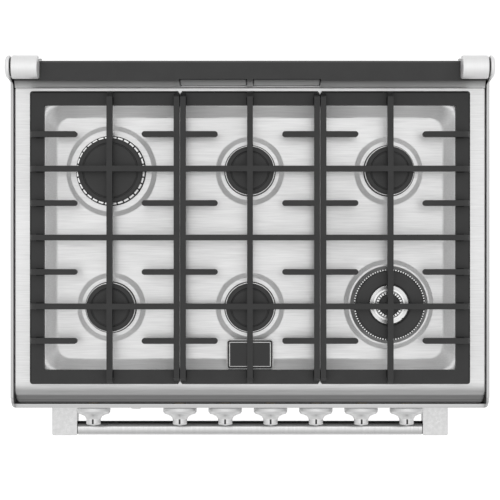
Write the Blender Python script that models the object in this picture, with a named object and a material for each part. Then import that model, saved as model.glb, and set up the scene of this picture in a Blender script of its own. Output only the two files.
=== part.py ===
"""A 36-inch freestanding gas range with six burners, as separate parts with working joints.

Metres, +Z up, the front towards -Y. The origin is on the floor, at the middle of the overall box.
"""

import math
from collections import namedtuple

import bmesh
import bpy
from mathutils import Matrix, Vector

# ---- overall sizes
BODY_WIDTH = 0.914
OVERALL_DEPTH = 0.735  # front of the handle to the back of the end pieces
WORKTOP_Z = 0.914
LEG_HEIGHT = 0.100

# ---- fits and walls
FIT = 0.0003  # between pieces that touch
SHEET = 0.002
SIDE_WALL = 0.0057
SHADOW_GAP = 0.0032  # open joint round the worktop

# ---- control panel
PANEL_HEIGHT = 0.105
PANEL_TOP_DROP = 0.025  # below the worktop rim
PANEL_LEAN = math.radians(5)
PANEL_SETBACK = 0.0083  # top edge behind the door face
PANEL_STRIP = 0.0077  # top edge that shows in front of the worktop
PANEL_RETURN = 0.0207  # depth of the side returns
PANEL_CORNER = 0.006
CHEEK_DROP = 0.001  # side edges lie this far below the rim

# ---- knobs and button
KNOB_DROP = 0.085
KNOB_END_INSET = 0.150
BUTTON_SPACE = 0.1695  # oven knob to the first burner knob
BUTTON_OFFSET = 0.0835  # oven knob to the light button
BURNER_KNOBS = 6
KNOB_SKIRT_RADIUS = 0.033
KNOB_NECK_RADIUS = 0.0142
KNOB_LENGTH = 0.0378
STEM_RADIUS = 0.004
STEM_REACH = 0.012
STEM_HOLE_RADIUS = 0.0075
VALVE_RADIUS = 0.012
VALVE_LENGTH = 0.045
BUTTON_RADIUS = 0.0098
BUTTON_TRAVEL = 0.003

# ---- door
HANDLE_REACH = 0.060  # front of the handle to the door face
DOOR_DEPTH = 0.045
DOOR_CLEARANCE = 0.004  # door back to the cabinet front
DOOR_SIDE_INSET = 0.0025
DOOR_TOP_GAP = 0.0055
DOOR_BOTTOM_RISE = 0.065
DOOR_LINER_DEPTH = 0.003
WINDOW_SIDE_INSET = 0.1845
WINDOW_BOTTOM_RISE = 0.135  # above the door's lower edge
WINDOW_TOP_DROP = 0.2185
GLASS = 0.004
GLASS_LAP = 0.020
HINGE_INSET = 0.008  # pin to the door's back
HINGE_RISE = 0.007  # pin above the door's lower edge
HINGE_SIDE_INSET = 0.047
PIN_RADIUS = 0.004
LUG_RADIUS = 0.008
LUG_WIDTH = 0.006
CHEEK_WIDTH = 0.0076
POCKET_CLEARANCE = 0.003  # door pocket in front of the lug
POCKET_RISE = 0.014  # pocket's top above the pin

# ---- handle
HANDLE_DROP = 0.165
HANDLE_RADIUS = 0.014
HANDLE_SIDE_INSET = 0.060
BRACKET_WIDTH = 0.0505
BRACKET_HEIGHT = 0.030

# ---- cabinet
END_RADIUS = 0.0219
END_OVERHANG = 0.0081  # end pieces behind the cabinet
BASE_WALL_RISE = 0.050
APRON_RISE = 0.0845
PAN_THICKNESS = 0.003
LEG_INSET_X = 0.055
LEG_INSET_Y = 0.054
LEG_BODY_RADIUS = 0.017
LEG_STEM_RADIUS = 0.008
LEG_FOOT_RADIUS = 0.022
LEG_STEM_LENGTH = 0.045
BOSS_RADIUS = 0.014
BOSS_HEIGHT = 0.027
INLET_RADIUS = 0.012

# ---- oven
OVEN_SIDE_INSET = 0.072
OVEN_FLOOR_RISE = 0.115
OVEN_ROOF_DROP = 0.279
OVEN_BACK_INSET = 0.1194
OVEN_WALL = 0.0025
LEDGE_DEPTH = 0.012
LEDGE_THICKNESS = 0.005
LEDGE_PITCH = 0.070
LEDGES = 5
FIRST_LEDGE_RISE = 0.055
RACK_LEDGES = {"lower": 1, "upper": 3}  # ledge that each rack stands on
RACK_ROD = 0.003
RACK_WIRE = 0.002
RACK_WIRES = 7
RACK_FRONT_INSET = 0.0335
RACK_BACK_INSET = 0.040
FAN_DROP = 0.205  # fan axis below the oven roof
FAN_RADIUS = 0.085
FAN_COVER_RADIUS = 0.110
FAN_COVER_DEPTH = 0.035
SHAFT_RADIUS = 0.004
FLUE_HALF_WIDTH = 0.150

# ---- worktop
NOSE_DEPTH = 0.032
SKIRT_DROP = 0.0247
EDGE_RADIUS = 0.002
RIM_CORNER = 0.010
PAN_DEPTH = 0.018
PAN_SIDE_INSET = 0.0555
PAN_FRONT_INSET = 0.0637
PAN_REAR_INSET = 0.0324
PAN_SLOPE_SIDE = 0.0244
PAN_SLOPE_FRONT = 0.0210
PAN_SLOPE_REAR = 0.0233
PAN_CORNER = 0.027
BOSS_RISE = 0.010  # burner seats above the pan
BURNER_HOLE = 0.0175
BURNER_STEM = 0.016
BURNER_THROAT = 0.010
STEM_DROP = 0.034  # burner stems below their seats
HEAD_HEIGHT = 0.012
PLATE_HALF_WIDTH = 0.0443
PLATE_DEPTH = 0.057
PLATE_OVERHANG = 0.010
PLATE_RISE = 0.002  # above the rim

# ---- backguard
BACKGUARD_FOOT = 0.0461
BACKGUARD_LEAN = 0.0091
BACKGUARD_HEIGHT = 0.050
CAP_THICKNESS = 0.0025
CAP_LIP = 0.0034
SLOT_INNER = 0.0057
SLOT_OUTER = 0.133
SLOT_RISE = 0.008
SLOT_NOTCH = 0.003
END_RISE = 0.065
END_LENGTH = 0.049
END_GROOVE = 0.0029
END_DISC = 0.0105
SADDLE_CLEARANCE = 0.00074  # end piece in the backguard's saddle

# ---- grates
GRATE_SIDE_INSET = 0.0304
GRATE_FRONT_INSET = 0.0384
GRATE_REAR_INSET = 0.0072
GRATE_SHOULDER = 0.0195  # outer edge past one and a half column pitches
WIDE_RAIL = 0.0266
NARROW_RAIL = 0.0106
RAIL_TOP = 0.014
BAR_TOP = 0.032
BAR_BOTTOM = 0.018
BAR_WIDTH = 0.0108
BAR_TAPER = 0.012
RAIL_TO_FINGER = 0.0561
FINGER_GAP = 0.061  # half the gap between two finger tips
JOINT_GAP = 0.00075
BURNER_SETBACK = 0.0027

# ---- places that follow from the sizes
HALF_WIDTH = BODY_WIDTH / 2
FRONT_Y = -OVERALL_DEPTH / 2
REAR_Y = OVERALL_DEPTH / 2
DOOR_FACE_Y = FRONT_Y + HANDLE_REACH
DOOR_BACK_Y = DOOR_FACE_Y + DOOR_DEPTH
CABINET_FRONT_Y = DOOR_BACK_Y + DOOR_CLEARANCE
CABINET_REAR_Y = REAR_Y - END_OVERHANG
INNER_X = HALF_WIDTH - SIDE_WALL

PANEL_TOP_Y = DOOR_FACE_Y + PANEL_SETBACK
PANEL_TOP_Z = WORKTOP_Z - PANEL_TOP_DROP
PANEL_BOTTOM_Z = PANEL_TOP_Z - PANEL_HEIGHT
PANEL_BOTTOM_Y = PANEL_TOP_Y - PANEL_HEIGHT * math.tan(PANEL_LEAN)
PANEL_RETURN_Y = PANEL_TOP_Y + PANEL_RETURN
PANEL_OUT = Vector((0, -math.cos(PANEL_LEAN), math.sin(PANEL_LEAN)))
KNOB_Z = WORKTOP_Z - KNOB_DROP
KNOB_Y = PANEL_TOP_Y - (PANEL_TOP_Z - KNOB_Z) * math.tan(PANEL_LEAN)
KNOB_END_X = HALF_WIDTH - KNOB_END_INSET
KNOB_PITCH = (2 * KNOB_END_X - BUTTON_SPACE) / (BURNER_KNOBS - 1)
KNOB_XS = [-KNOB_END_X] + [KNOB_END_X - KNOB_PITCH * i for i in reversed(range(BURNER_KNOBS))]

WORKTOP_HALF = INNER_X - SHADOW_GAP
WORKTOP_FRONT_Y = PANEL_TOP_Y + PANEL_STRIP + SHADOW_GAP
BACKGUARD_Y = CABINET_REAR_Y - BACKGUARD_FOOT
WORKTOP_REAR_Y = BACKGUARD_Y - FIT
PAN_HALF = WORKTOP_HALF - PAN_SIDE_INSET
PAN_FRONT_Y = WORKTOP_FRONT_Y + PAN_FRONT_INSET
PAN_REAR_Y = BACKGUARD_Y - PAN_REAR_INSET
PAN_Z = WORKTOP_Z - PAN_DEPTH
SEAT_Z = PAN_Z + BOSS_RISE

GRATE_HALF = WORKTOP_HALF - GRATE_SIDE_INSET
GRATE_FRONT_Y = WORKTOP_FRONT_Y + GRATE_FRONT_INSET
GRATE_REAR_Y = BACKGUARD_Y - GRATE_REAR_INSET
GRATE_MID_Y = (GRATE_FRONT_Y + GRATE_REAR_Y) / 2
COLUMN_PITCH = (GRATE_HALF - GRATE_SHOULDER) / 1.5
CROSS_PITCH = (GRATE_REAR_Y - GRATE_FRONT_Y - 2 * WIDE_RAIL - 2 * RAIL_TO_FINGER) / 3

DOOR_HALF = HALF_WIDTH - DOOR_SIDE_INSET
DOOR_TOP_Z = PANEL_BOTTOM_Z - DOOR_TOP_GAP
DOOR_BOTTOM_Z = LEG_HEIGHT + DOOR_BOTTOM_RISE
DOOR_LINER_Y = DOOR_BACK_Y - DOOR_LINER_DEPTH
HINGE_Y = DOOR_BACK_Y - HINGE_INSET
HINGE_Z = DOOR_BOTTOM_Z + HINGE_RISE
HINGE_X = HALF_WIDTH - HINGE_SIDE_INSET
WINDOW_HALF = DOOR_HALF - WINDOW_SIDE_INSET
WINDOW_BOTTOM_Z = DOOR_BOTTOM_Z + WINDOW_BOTTOM_RISE
WINDOW_TOP_Z = DOOR_TOP_Z - WINDOW_TOP_DROP
HANDLE_Z = WORKTOP_Z - HANDLE_DROP
HANDLE_HALF = HALF_WIDTH - HANDLE_SIDE_INSET

APRON_TOP_Z = LEG_HEIGHT + APRON_RISE
OVEN_HALF = HALF_WIDTH - OVEN_SIDE_INSET
OVEN_FLOOR_Z = LEG_HEIGHT + OVEN_FLOOR_RISE
OVEN_ROOF_Z = WORKTOP_Z - OVEN_ROOF_DROP
OVEN_BACK_Y = CABINET_REAR_Y - OVEN_BACK_INSET
LINER_BACK_Y = OVEN_BACK_Y + OVEN_WALL
FAN_Z = OVEN_ROOF_Z - FAN_DROP
REAR_PANEL_Y = CABINET_REAR_Y - SHEET
END_X = HALF_WIDTH - END_DISC - END_GROOVE - END_LENGTH
END_Y = REAR_Y - END_RADIUS
END_Z = WORKTOP_Z + END_RISE
CAP_Z = WORKTOP_Z + BACKGUARD_HEIGHT

FINE, MEDIUM, COARSE = 28, 20, 10  # sides of round pieces
ROUGH = 6  # sides of thin tubes and wires

Burner = namedtuple("Burner", "name column row kind")
BurnerKind = namedtuple("BurnerKind", "foot seat port cap step")
KINDS = {
    "large": BurnerKind(0.0857, 0.0775, 0.0670, 0.0612, 0.0515),
    "small": BurnerKind(0.0650, 0.0560, 0.0485, 0.0453, 0.0355),
    "ring": BurnerKind(0.0845, 0.0773, 0.0740, 0.0651, 0.0378),
}
RING_SHIFT = 0.005  # the ring burner sits this far behind its row
RING_FLOOR_RADIUS = 0.0365
RING_CENTRE_RADIUS = 0.0245
RING_CENTRE_CAP = 0.0206
BURNERS = [
    Burner("rear_left", -1, 1, "large"),
    Burner("rear_centre", 0, 1, "small"),
    Burner("rear_right", 1, 1, "small"),
    Burner("front_left", -1, -1, "small"),
    Burner("front_centre", 0, -1, "small"),
    Burner("front_right", 1, -1, "ring"),
]


# ---------------------------------------------------------------- tools


def clear_scene():
    for old in list(bpy.data.objects):
        bpy.data.objects.remove(old, do_unlink=True)


def material(name, colour, roughness, metallic):
    made = bpy.data.materials.new(name)
    made.use_nodes = True
    shader = made.node_tree.nodes["Principled BSDF"]
    shader.inputs["Base Color"].default_value = (*colour, 1)
    shader.inputs["Roughness"].default_value = roughness
    shader.inputs["Metallic"].default_value = metallic
    return made


def to_object(bm):
    """A new object that holds this bmesh, with its faces pointing out."""
    bmesh.ops.recalc_face_normals(bm, faces=bm.faces)
    mesh = bpy.data.meshes.new("solid")
    bm.to_mesh(mesh)
    bm.free()
    made = bpy.data.objects.new("solid", mesh)
    bpy.context.scene.collection.objects.link(made)
    return made


def box(x, y, z):
    """A block between the two values of each pair."""
    bm = bmesh.new()
    bmesh.ops.create_cube(bm, size=1)
    low = Vector((min(x), min(y), min(z)))
    high = Vector((max(x), max(y), max(z)))
    for vert in bm.verts:
        vert.co = Vector((low[i] if vert.co[i] < 0 else high[i] for i in range(3)))
    return to_object(bm)


def prism(points, span, axis="X"):
    """Extrudes an outline along X (points are y, z) or along Y (points are x, z)."""
    bm = bmesh.new()
    low, high = min(span), max(span)
    if axis == "X":
        corners = [(low, a, b) for a, b in points]
        step = Vector((high - low, 0, 0))
    else:
        corners = [(a, low, b) for a, b in points]
        step = Vector((0, high - low, 0))
    face = bm.faces.new([bm.verts.new(corner) for corner in corners])
    grown = bmesh.ops.extrude_face_region(bm, geom=[face])["geom"]
    bmesh.ops.translate(bm, verts=[g for g in grown if isinstance(g, bmesh.types.BMVert)], vec=step)
    return to_object(bm)


def turned(profile, base, axis, sides=MEDIUM):
    """Turns (radius, height) points about the axis. Points of radius 0 close the ends;
    a profile without them is closed on itself, as a ring."""
    bm = bmesh.new()
    turn = Vector((0, 0, 1)).rotation_difference(Vector(axis)).to_matrix().to_4x4()
    place = Matrix.Translation(base) @ turn
    rings = []
    for radius, height in profile:
        if radius == 0:
            rings.append([bm.verts.new(place @ Vector((0, 0, height)))])
            continue
        angles = [2 * math.pi * i / sides for i in range(sides)]
        spots = [Vector((radius * math.cos(a), radius * math.sin(a), height)) for a in angles]
        rings.append([bm.verts.new(place @ spot) for spot in spots])
    pairs = list(zip(rings, rings[1:]))
    if len(rings[0]) > 1:
        pairs.append((rings[-1], rings[0]))
    for first, second in pairs:
        for i in range(sides):
            j = (i + 1) % sides
            if len(first) == 1:
                bm.faces.new((first[0], second[i], second[j]))
            elif len(second) == 1:
                bm.faces.new((first[i], first[j], second[0]))
            else:
                bm.faces.new((first[i], first[j], second[j], second[i]))
    return to_object(bm)


def rod(start, end, radius, sides=COARSE):
    start, end = Vector(start), Vector(end)
    length = (end - start).length
    profile = [(0, 0), (radius, 0), (radius, length), (0, length)]
    return turned(profile, start, (end - start).normalized(), sides)


def boolean(target, tool, operation):
    step = target.modifiers.new("boolean", "BOOLEAN")
    step.operation = operation
    step.object = tool
    step.solver = "EXACT"
    graph = bpy.context.evaluated_depsgraph_get()
    shaped = bpy.data.meshes.new_from_object(target.evaluated_get(graph))
    target.modifiers.clear()
    target.data = shaped
    bpy.data.objects.remove(tool, do_unlink=True)


def joined(first, *others):
    for other in others:
        boolean(first, other, "UNION")
    return first


def cut(target, *tools):
    for tool in tools:
        boolean(target, tool, "DIFFERENCE")
    return target


def finish(made, name, finish_material, origin=None, parent=None, smooth=False):
    """Names a solid, gives it its material and moves its origin, without moving its shape."""
    made.name = name
    made.data.name = name
    made.data.materials.clear()
    made.data.materials.append(finish_material)
    if smooth:
        made.data.shade_smooth()
        made.data.set_sharp_from_angle(angle=math.radians(35))
    if origin is not None:
        made.data.transform(Matrix.Translation(-Vector(origin)))
        made.location = origin
    if parent is not None:
        made.parent = parent
        made.matrix_parent_inverse = parent.matrix_basis.inverted()
    return made


def pivot(name, location):
    made = bpy.data.objects.new(name, None)
    made.location = location
    bpy.context.scene.collection.objects.link(made)
    return made


def side_name(side):
    return "left" if side < 0 else "right"


# ---------------------------------------------------------------- cabinet


def leg_places():
    ys = {"front": CABINET_FRONT_Y + LEG_INSET_Y, "rear": CABINET_REAR_Y - LEG_INSET_Y}
    return {
        f"leg_{row}_{side_name(side)}": (side * (HALF_WIDTH - LEG_INSET_X), y)
        for row, y in ys.items()
        for side in (-1, 1)
    }


def make_legs(steel):
    top = LEG_HEIGHT - FIT
    profile = [
        (0, 0),
        (LEG_FOOT_RADIUS - 0.002, 0),
        (LEG_FOOT_RADIUS, 0.002),
        (LEG_FOOT_RADIUS, 0.007),
        (LEG_BODY_RADIUS, 0.014),
        (LEG_BODY_RADIUS, top),
        (LEG_STEM_RADIUS, top),
        (LEG_STEM_RADIUS, top + LEG_STEM_LENGTH),
        (0, top + LEG_STEM_LENGTH),
    ]
    for name, (x, y) in leg_places().items():
        leg = turned(profile, (x, y, 0), (0, 0, 1), 12)
        finish(leg, name, steel, origin=(x, y, LEG_HEIGHT), smooth=True)


def make_base_frame(paint):
    half = INNER_X - FIT
    wall_top = LEG_HEIGHT + BASE_WALL_RISE
    back = REAR_PANEL_Y - FIT
    frame = box((-half, half), (CABINET_FRONT_Y, back), (LEG_HEIGHT, wall_top))
    inner_x = half - SHEET
    inner = box(
        (-inner_x, inner_x),
        (CABINET_FRONT_Y + PAN_THICKNESS, back - SHEET),
        (LEG_HEIGHT + PAN_THICKNESS, wall_top + SHEET),
    )
    cut(frame, inner)
    apron = box(
        (-half, half), (CABINET_FRONT_Y, CABINET_FRONT_Y + PAN_THICKNESS), (wall_top - SHEET, APRON_TOP_Z)
    )
    joined(frame, apron)
    floor = LEG_HEIGHT + PAN_THICKNESS
    for x, y in leg_places().values():
        joined(frame, rod((x, y, floor - 0.001), (x, y, floor + BOSS_HEIGHT), BOSS_RADIUS, COARSE))
    for x, y in leg_places().values():
        hole = LEG_STEM_RADIUS + FIT
        cut(frame, rod((x, y, LEG_HEIGHT - 0.01), (x, y, floor + BOSS_HEIGHT + 0.01), hole, 12))
    for side in (-1, 1):
        x = (side * HINGE_X - LUG_WIDTH / 2, side * HINGE_X + LUG_WIDTH / 2)
        neck = box(x, (HINGE_Y, CABINET_FRONT_Y + 0.001), (HINGE_Z - LUG_RADIUS, HINGE_Z + LUG_RADIUS))
        eye = rod((x[0], HINGE_Y, HINGE_Z), (x[1], HINGE_Y, HINGE_Z), LUG_RADIUS, 12)
        joined(frame, joined(neck, eye))
        hole = PIN_RADIUS + FIT
        cut(frame, rod((x[0] - 0.01, HINGE_Y, HINGE_Z), (x[1] + 0.01, HINGE_Y, HINGE_Z), hole, COARSE))
    finish(frame, "base_frame", paint, smooth=True)


def make_side_panels(steel):
    bottom = LEG_HEIGHT + 0.002
    top = WORKTOP_Z - CHEEK_DROP
    front = PANEL_RETURN_Y + FIT
    ear_top = END_Z - END_RADIUS - FIT
    ear_lean = BACKGUARD_LEAN * (ear_top - top) / BACKGUARD_HEIGHT
    outline = [
        (CABINET_FRONT_Y, bottom),
        (CABINET_REAR_Y, bottom),
        (CABINET_REAR_Y, ear_top),
        (BACKGUARD_Y + ear_lean, ear_top),
        (BACKGUARD_Y, top),
        (front, top),
        (front, PANEL_BOTTOM_Z),
        (CABINET_FRONT_Y, PANEL_BOTTOM_Z),
    ]
    ledge_top = WORKTOP_Z - SKIRT_DROP - FIT
    for side in (-1, 1):
        panel = prism(outline, (side * INNER_X, side * HALF_WIDTH))
        ledge = box(
            (side * (WORKTOP_HALF - 0.015), side * (INNER_X + 0.001)),
            (front + 0.010, BACKGUARD_Y),
            (ledge_top - PAN_THICKNESS, ledge_top),
        )
        joined(panel, ledge)
        finish(panel, f"side_panel_{side_name(side)}", steel)


def make_rear_panel(galvanised):
    half = INNER_X - FIT
    panel = box((-half, half), (REAR_PANEL_Y, CABINET_REAR_Y), (LEG_HEIGHT + 0.002, WORKTOP_Z))
    x, z = inlet_place()
    hole = rod((x, REAR_PANEL_Y - 0.01, z), (x, CABINET_REAR_Y + 0.01, z), INLET_RADIUS + 2 * FIT, COARSE)
    cut(panel, hole)
    finish(panel, "rear_panel", galvanised)


def make_control_panel(steel):
    top = WORKTOP_Z - CHEEK_DROP
    rise = top - PANEL_TOP_Z
    arc_steps = 5
    outline = [(PANEL_RETURN_Y, PANEL_BOTTOM_Z), (PANEL_BOTTOM_Y, PANEL_BOTTOM_Z)]
    for i in range(arc_steps + 1):
        angle = math.pi / 2 * i / arc_steps
        y = PANEL_RETURN_Y - PANEL_RETURN * math.cos(angle)
        outline.append((y, PANEL_TOP_Z + rise * math.sin(angle)))
    panel = prism(outline, (-HALF_WIDTH, HALF_WIDTH))

    bm = bmesh.new()
    bm.from_mesh(panel.data)
    corner_edges = []
    for edge in bm.edges:
        at_side = all(abs(abs(v.co.x) - HALF_WIDTH) < 1e-5 for v in edge.verts)
        same_side = edge.verts[0].co.x * edge.verts[1].co.x > 0
        ys = [v.co.y for v in edge.verts]
        along_back = min(ys) > PANEL_RETURN_Y - 1e-5
        along_bottom = max(v.co.z for v in edge.verts) < PANEL_BOTTOM_Z + 1e-5
        if at_side and same_side and not along_back and not along_bottom:
            corner_edges.append(edge)
    bmesh.ops.bevel(
        bm, geom=corner_edges, offset=PANEL_CORNER, segments=2, profile=0.5, affect="EDGES"
    )
    bm.to_mesh(panel.data)
    bm.free()

    strip_y = PANEL_TOP_Y + PANEL_STRIP
    inside = [
        (PANEL_BOTTOM_Y + SHEET, PANEL_BOTTOM_Z + SHEET),
        (PANEL_TOP_Y + SHEET, PANEL_TOP_Z - SHEET),
        (strip_y, PANEL_TOP_Z - SHEET),
        (strip_y, WORKTOP_Z + 0.01),
        (PANEL_RETURN_Y + 0.01, WORKTOP_Z + 0.01),
        (PANEL_RETURN_Y + 0.01, PANEL_BOTTOM_Z + SHEET),
    ]
    cut(panel, prism(inside, (-INNER_X, INNER_X)))
    above = box((-INNER_X, INNER_X), (PANEL_TOP_Y - 0.01, strip_y + 0.001), (PANEL_TOP_Z, WORKTOP_Z + 0.01))
    cut(panel, above)
    for x in KNOB_XS:
        cut(panel, panel_rod(x, -0.012, 0.012, STEM_HOLE_RADIUS, COARSE))
    cut(panel, panel_rod(button_x(), -0.012, 0.012, BUTTON_RADIUS + FIT, 16))
    finish(panel, "control_panel", steel, smooth=True)


# ---------------------------------------------------------------- controls and gas


def panel_point(x, out):
    """A point on a knob's axis, out metres in front of the control panel's face."""
    return Vector((x, KNOB_Y, KNOB_Z)) + PANEL_OUT * out


def panel_rod(x, start, end, radius, sides=COARSE):
    return rod(panel_point(x, start), panel_point(x, end), radius, sides)


def button_x():
    return KNOB_XS[0] + BUTTON_OFFSET


def knob_profile():
    bore = STEM_REACH + 2 * FIT
    skirt, neck, length = KNOB_SKIRT_RADIUS, KNOB_NECK_RADIUS, KNOB_LENGTH
    profile = [(0, bore), (STEM_RADIUS + FIT, bore), (STEM_RADIUS + FIT, 0)]
    profile += [(skirt - 0.003, 0), (skirt, 0.002), (skirt, 0.006), (skirt - 0.003, 0.0095)]
    flare_top, flare_end = (skirt - 0.0065, 0.0105), (neck, 0.029)
    steps = 3
    for i in range(steps + 1):
        angle = math.pi / 2 * i / steps
        radius = flare_end[0] + (flare_top[0] - flare_end[0]) * (1 - math.sin(angle))
        height = flare_top[1] + (flare_end[1] - flare_top[1]) * (1 - math.cos(angle))
        profile.append((radius, height))
    profile += [(neck + 0.0006, length - 0.0033), (neck - 0.0007, length - 0.0014)]
    profile += [(neck * 0.5, length - 0.0003), (0, length)]
    return profile


def make_knobs(steel):
    names = ["knob_oven"] + [f"knob_burner_{i + 1}" for i in range(BURNER_KNOBS)]
    for name, x in zip(names, KNOB_XS):
        base = panel_point(x, FIT)
        finish(turned(knob_profile(), base, PANEL_OUT, 16), name, steel, origin=base, smooth=True)


def make_light_button(steel):
    inside, dome = -0.0045, BUTTON_TRAVEL + 0.001  # stays 1 mm proud when it is pushed in
    profile = [
        (0, inside),
        (BUTTON_RADIUS, inside),
        (BUTTON_RADIUS, dome - 0.0018),
        (BUTTON_RADIUS * 0.8, dome - 0.0006),
        (0, dome),
    ]
    place = panel_point(button_x(), 0)
    button = turned(profile, place, PANEL_OUT, 16)
    finish(button, "light_button", steel, origin=place, smooth=True)


def inlet_place():
    """Where the gas inlet leaves the rear panel: x, z."""
    return (OVEN_HALF + INNER_X) / 2, panel_point(0, -VALVE_LENGTH).z


def burner_place(burner):
    y = GRATE_MID_Y + burner.row * CROSS_PITCH - BURNER_SETBACK
    if burner.kind == "ring":
        y += RING_SHIFT
    return burner.column * COLUMN_PITCH, y


def make_gas_manifold(brass):
    pipe_radius, tube_radius, supply_radius, holder_radius = 0.011, 0.0035, 0.009, 0.008
    axis = panel_point(0, -VALVE_LENGTH)
    inlet_x, inlet_z = inlet_place()
    manifold = rod((KNOB_XS[0] - 0.03, axis.y, axis.z), (inlet_x, axis.y, axis.z), pipe_radius, COARSE)
    supply_start = (inlet_x, axis.y - supply_radius, axis.z)
    joined(manifold, rod(supply_start, (inlet_x, REAR_PANEL_Y, inlet_z), supply_radius, COARSE))
    hexagon_start = (inlet_x, REAR_PANEL_Y - 0.020, inlet_z)
    joined(manifold, rod(hexagon_start, (inlet_x, REAR_Y - 0.001, inlet_z), INLET_RADIUS, 6))
    for x in KNOB_XS:
        joined(manifold, panel_rod(x, -VALVE_LENGTH, -SHEET - FIT, VALVE_RADIUS, 8))
        joined(manifold, panel_rod(x, -0.010, STEM_REACH, STEM_RADIUS, ROUGH))
    order = sorted(BURNERS, key=lambda burner: (burner.column, burner.row))
    orifice_top = SEAT_Z - STEM_DROP - 0.002
    for x, burner in zip(KNOB_XS[1:], order):
        burner_x, burner_y = burner_place(burner)
        elbow = (burner_x, burner_y, axis.z)
        joined(manifold, rod((x, axis.y, axis.z), elbow, tube_radius, ROUGH))
        holder_foot = (burner_x, burner_y, axis.z - 0.005)
        joined(manifold, rod(holder_foot, (burner_x, burner_y, orifice_top), holder_radius, ROUGH))
    finish(manifold, "gas_manifold", brass, smooth=True)


# ---------------------------------------------------------------- oven


def make_oven_liner(enamel):
    wall = OVEN_WALL
    shell = box(
        (-OVEN_HALF - wall, OVEN_HALF + wall),
        (CABINET_FRONT_Y, LINER_BACK_Y),
        (OVEN_FLOOR_Z - wall, OVEN_ROOF_Z + wall),
    )
    flange_half = INNER_X - FIT
    flange = box(
        (-flange_half, flange_half),
        (CABINET_FRONT_Y, CABINET_FRONT_Y + wall),
        (APRON_TOP_Z + FIT, DOOR_TOP_Z - 0.0005),
    )
    joined(shell, flange)
    cavity_y = (CABINET_FRONT_Y - 0.01, OVEN_BACK_Y)
    cavity = box((-OVEN_HALF, OVEN_HALF), cavity_y, (OVEN_FLOOR_Z, OVEN_ROOF_Z))
    cut(shell, cavity)
    for side in (-1, 1):
        for level in range(LEDGES):
            z = ledge_top(level)
            ledge = box(
                (side * (OVEN_HALF - LEDGE_DEPTH), side * (OVEN_HALF + wall / 2)),
                (CABINET_FRONT_Y + 0.035, OVEN_BACK_Y - 0.020),
                (z - LEDGE_THICKNESS, z),
            )
            joined(shell, ledge)
        slot = box(
            (side * (OVEN_HALF - 0.045), side * (OVEN_HALF - 0.025)),
            (CABINET_FRONT_Y + 0.060, OVEN_BACK_Y - 0.060),
            (OVEN_FLOOR_Z - 0.01, OVEN_FLOOR_Z + 0.01),
        )
        cut(shell, slot)
    back_y = (OVEN_BACK_Y - 0.01, LINER_BACK_Y + 0.01)
    shaft_hole = SHAFT_RADIUS + 0.0015
    cut(shell, rod((0, back_y[0], FAN_Z), (0, back_y[1], FAN_Z), shaft_hole, 16))
    low, high = flue_heights()
    flue_half = FLUE_HALF_WIDTH - SHEET
    cut(shell, box((-flue_half, flue_half), back_y, (low + SHEET, high - SHEET)))
    finish(shell, "oven_liner", enamel)


def ledge_top(level):
    return OVEN_FLOOR_Z + FIRST_LEDGE_RISE + LEDGE_PITCH * level


def flue_heights():
    """The flue's inlet in the oven's rear wall, lower and upper edge."""
    return OVEN_ROOF_Z - 0.035, OVEN_ROOF_Z


def make_oven_flue(galvanised):
    low, high = flue_heights()
    front = LINER_BACK_Y + FIT
    riser = (BACKGUARD_Y + 0.0045, REAR_PANEL_Y - 0.006)
    top = WORKTOP_Z + SLOT_RISE - 0.004
    outer = [
        (front, low),
        (riser[1], low),
        (riser[1], top),
        (riser[0], top),
        (riser[0], high),
        (front, high),
    ]
    inner = [
        (front - 0.01, low + SHEET),
        (riser[1] - SHEET, low + SHEET),
        (riser[1] - SHEET, top + 0.01),
        (riser[0] + SHEET, top + 0.01),
        (riser[0] + SHEET, high - SHEET),
        (front - 0.01, high - SHEET),
    ]
    flue = prism(outer, (-FLUE_HALF_WIDTH, FLUE_HALF_WIDTH))
    cut(flue, prism(inner, (-FLUE_HALF_WIDTH + SHEET, FLUE_HALF_WIDTH - SHEET)))
    finish(flue, "oven_flue", galvanised)


def make_bake_burner(steel):
    radius, half, z = 0.011, 0.20, OVEN_FLOOR_Z - 0.030
    front, back = CABINET_FRONT_Y + 0.060, OVEN_BACK_Y - 0.060
    burner = rod((-half, front, z), (-half, back, z), radius, COARSE)
    joined(burner, rod((half, front, z), (half, back, z), radius, COARSE))
    joined(burner, rod((-half - radius, back, z), (half + radius, back, z), radius, COARSE))
    floor = LEG_HEIGHT + PAN_THICKNESS + FIT
    for x, y in ((-half, front + 0.02), (half, front + 0.02), (0, back)):
        joined(burner, rod((x, y, floor), (x, y, z), 0.005, 8))
    finish(burner, "bake_burner", steel, smooth=True)


def make_broil_burner(steel):
    half, drop = 0.22, 0.024
    front, back = CABINET_FRONT_Y + 0.110, OVEN_BACK_Y - 0.120
    burner = box((-half, half), (front, back), (OVEN_ROOF_Z - drop, OVEN_ROOF_Z - FIT))
    rib_count, rib = 5, 0.004
    for i in range(rib_count):
        y = front + (back - front) * (i + 1) / (rib_count + 1)
        rib_z = (OVEN_ROOF_Z - drop - rib, OVEN_ROOF_Z - drop + rib)
        joined(burner, box((-half + 0.01, half - 0.01), (y - rib, y + rib), rib_z))
    finish(burner, "broil_burner", steel)


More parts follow.
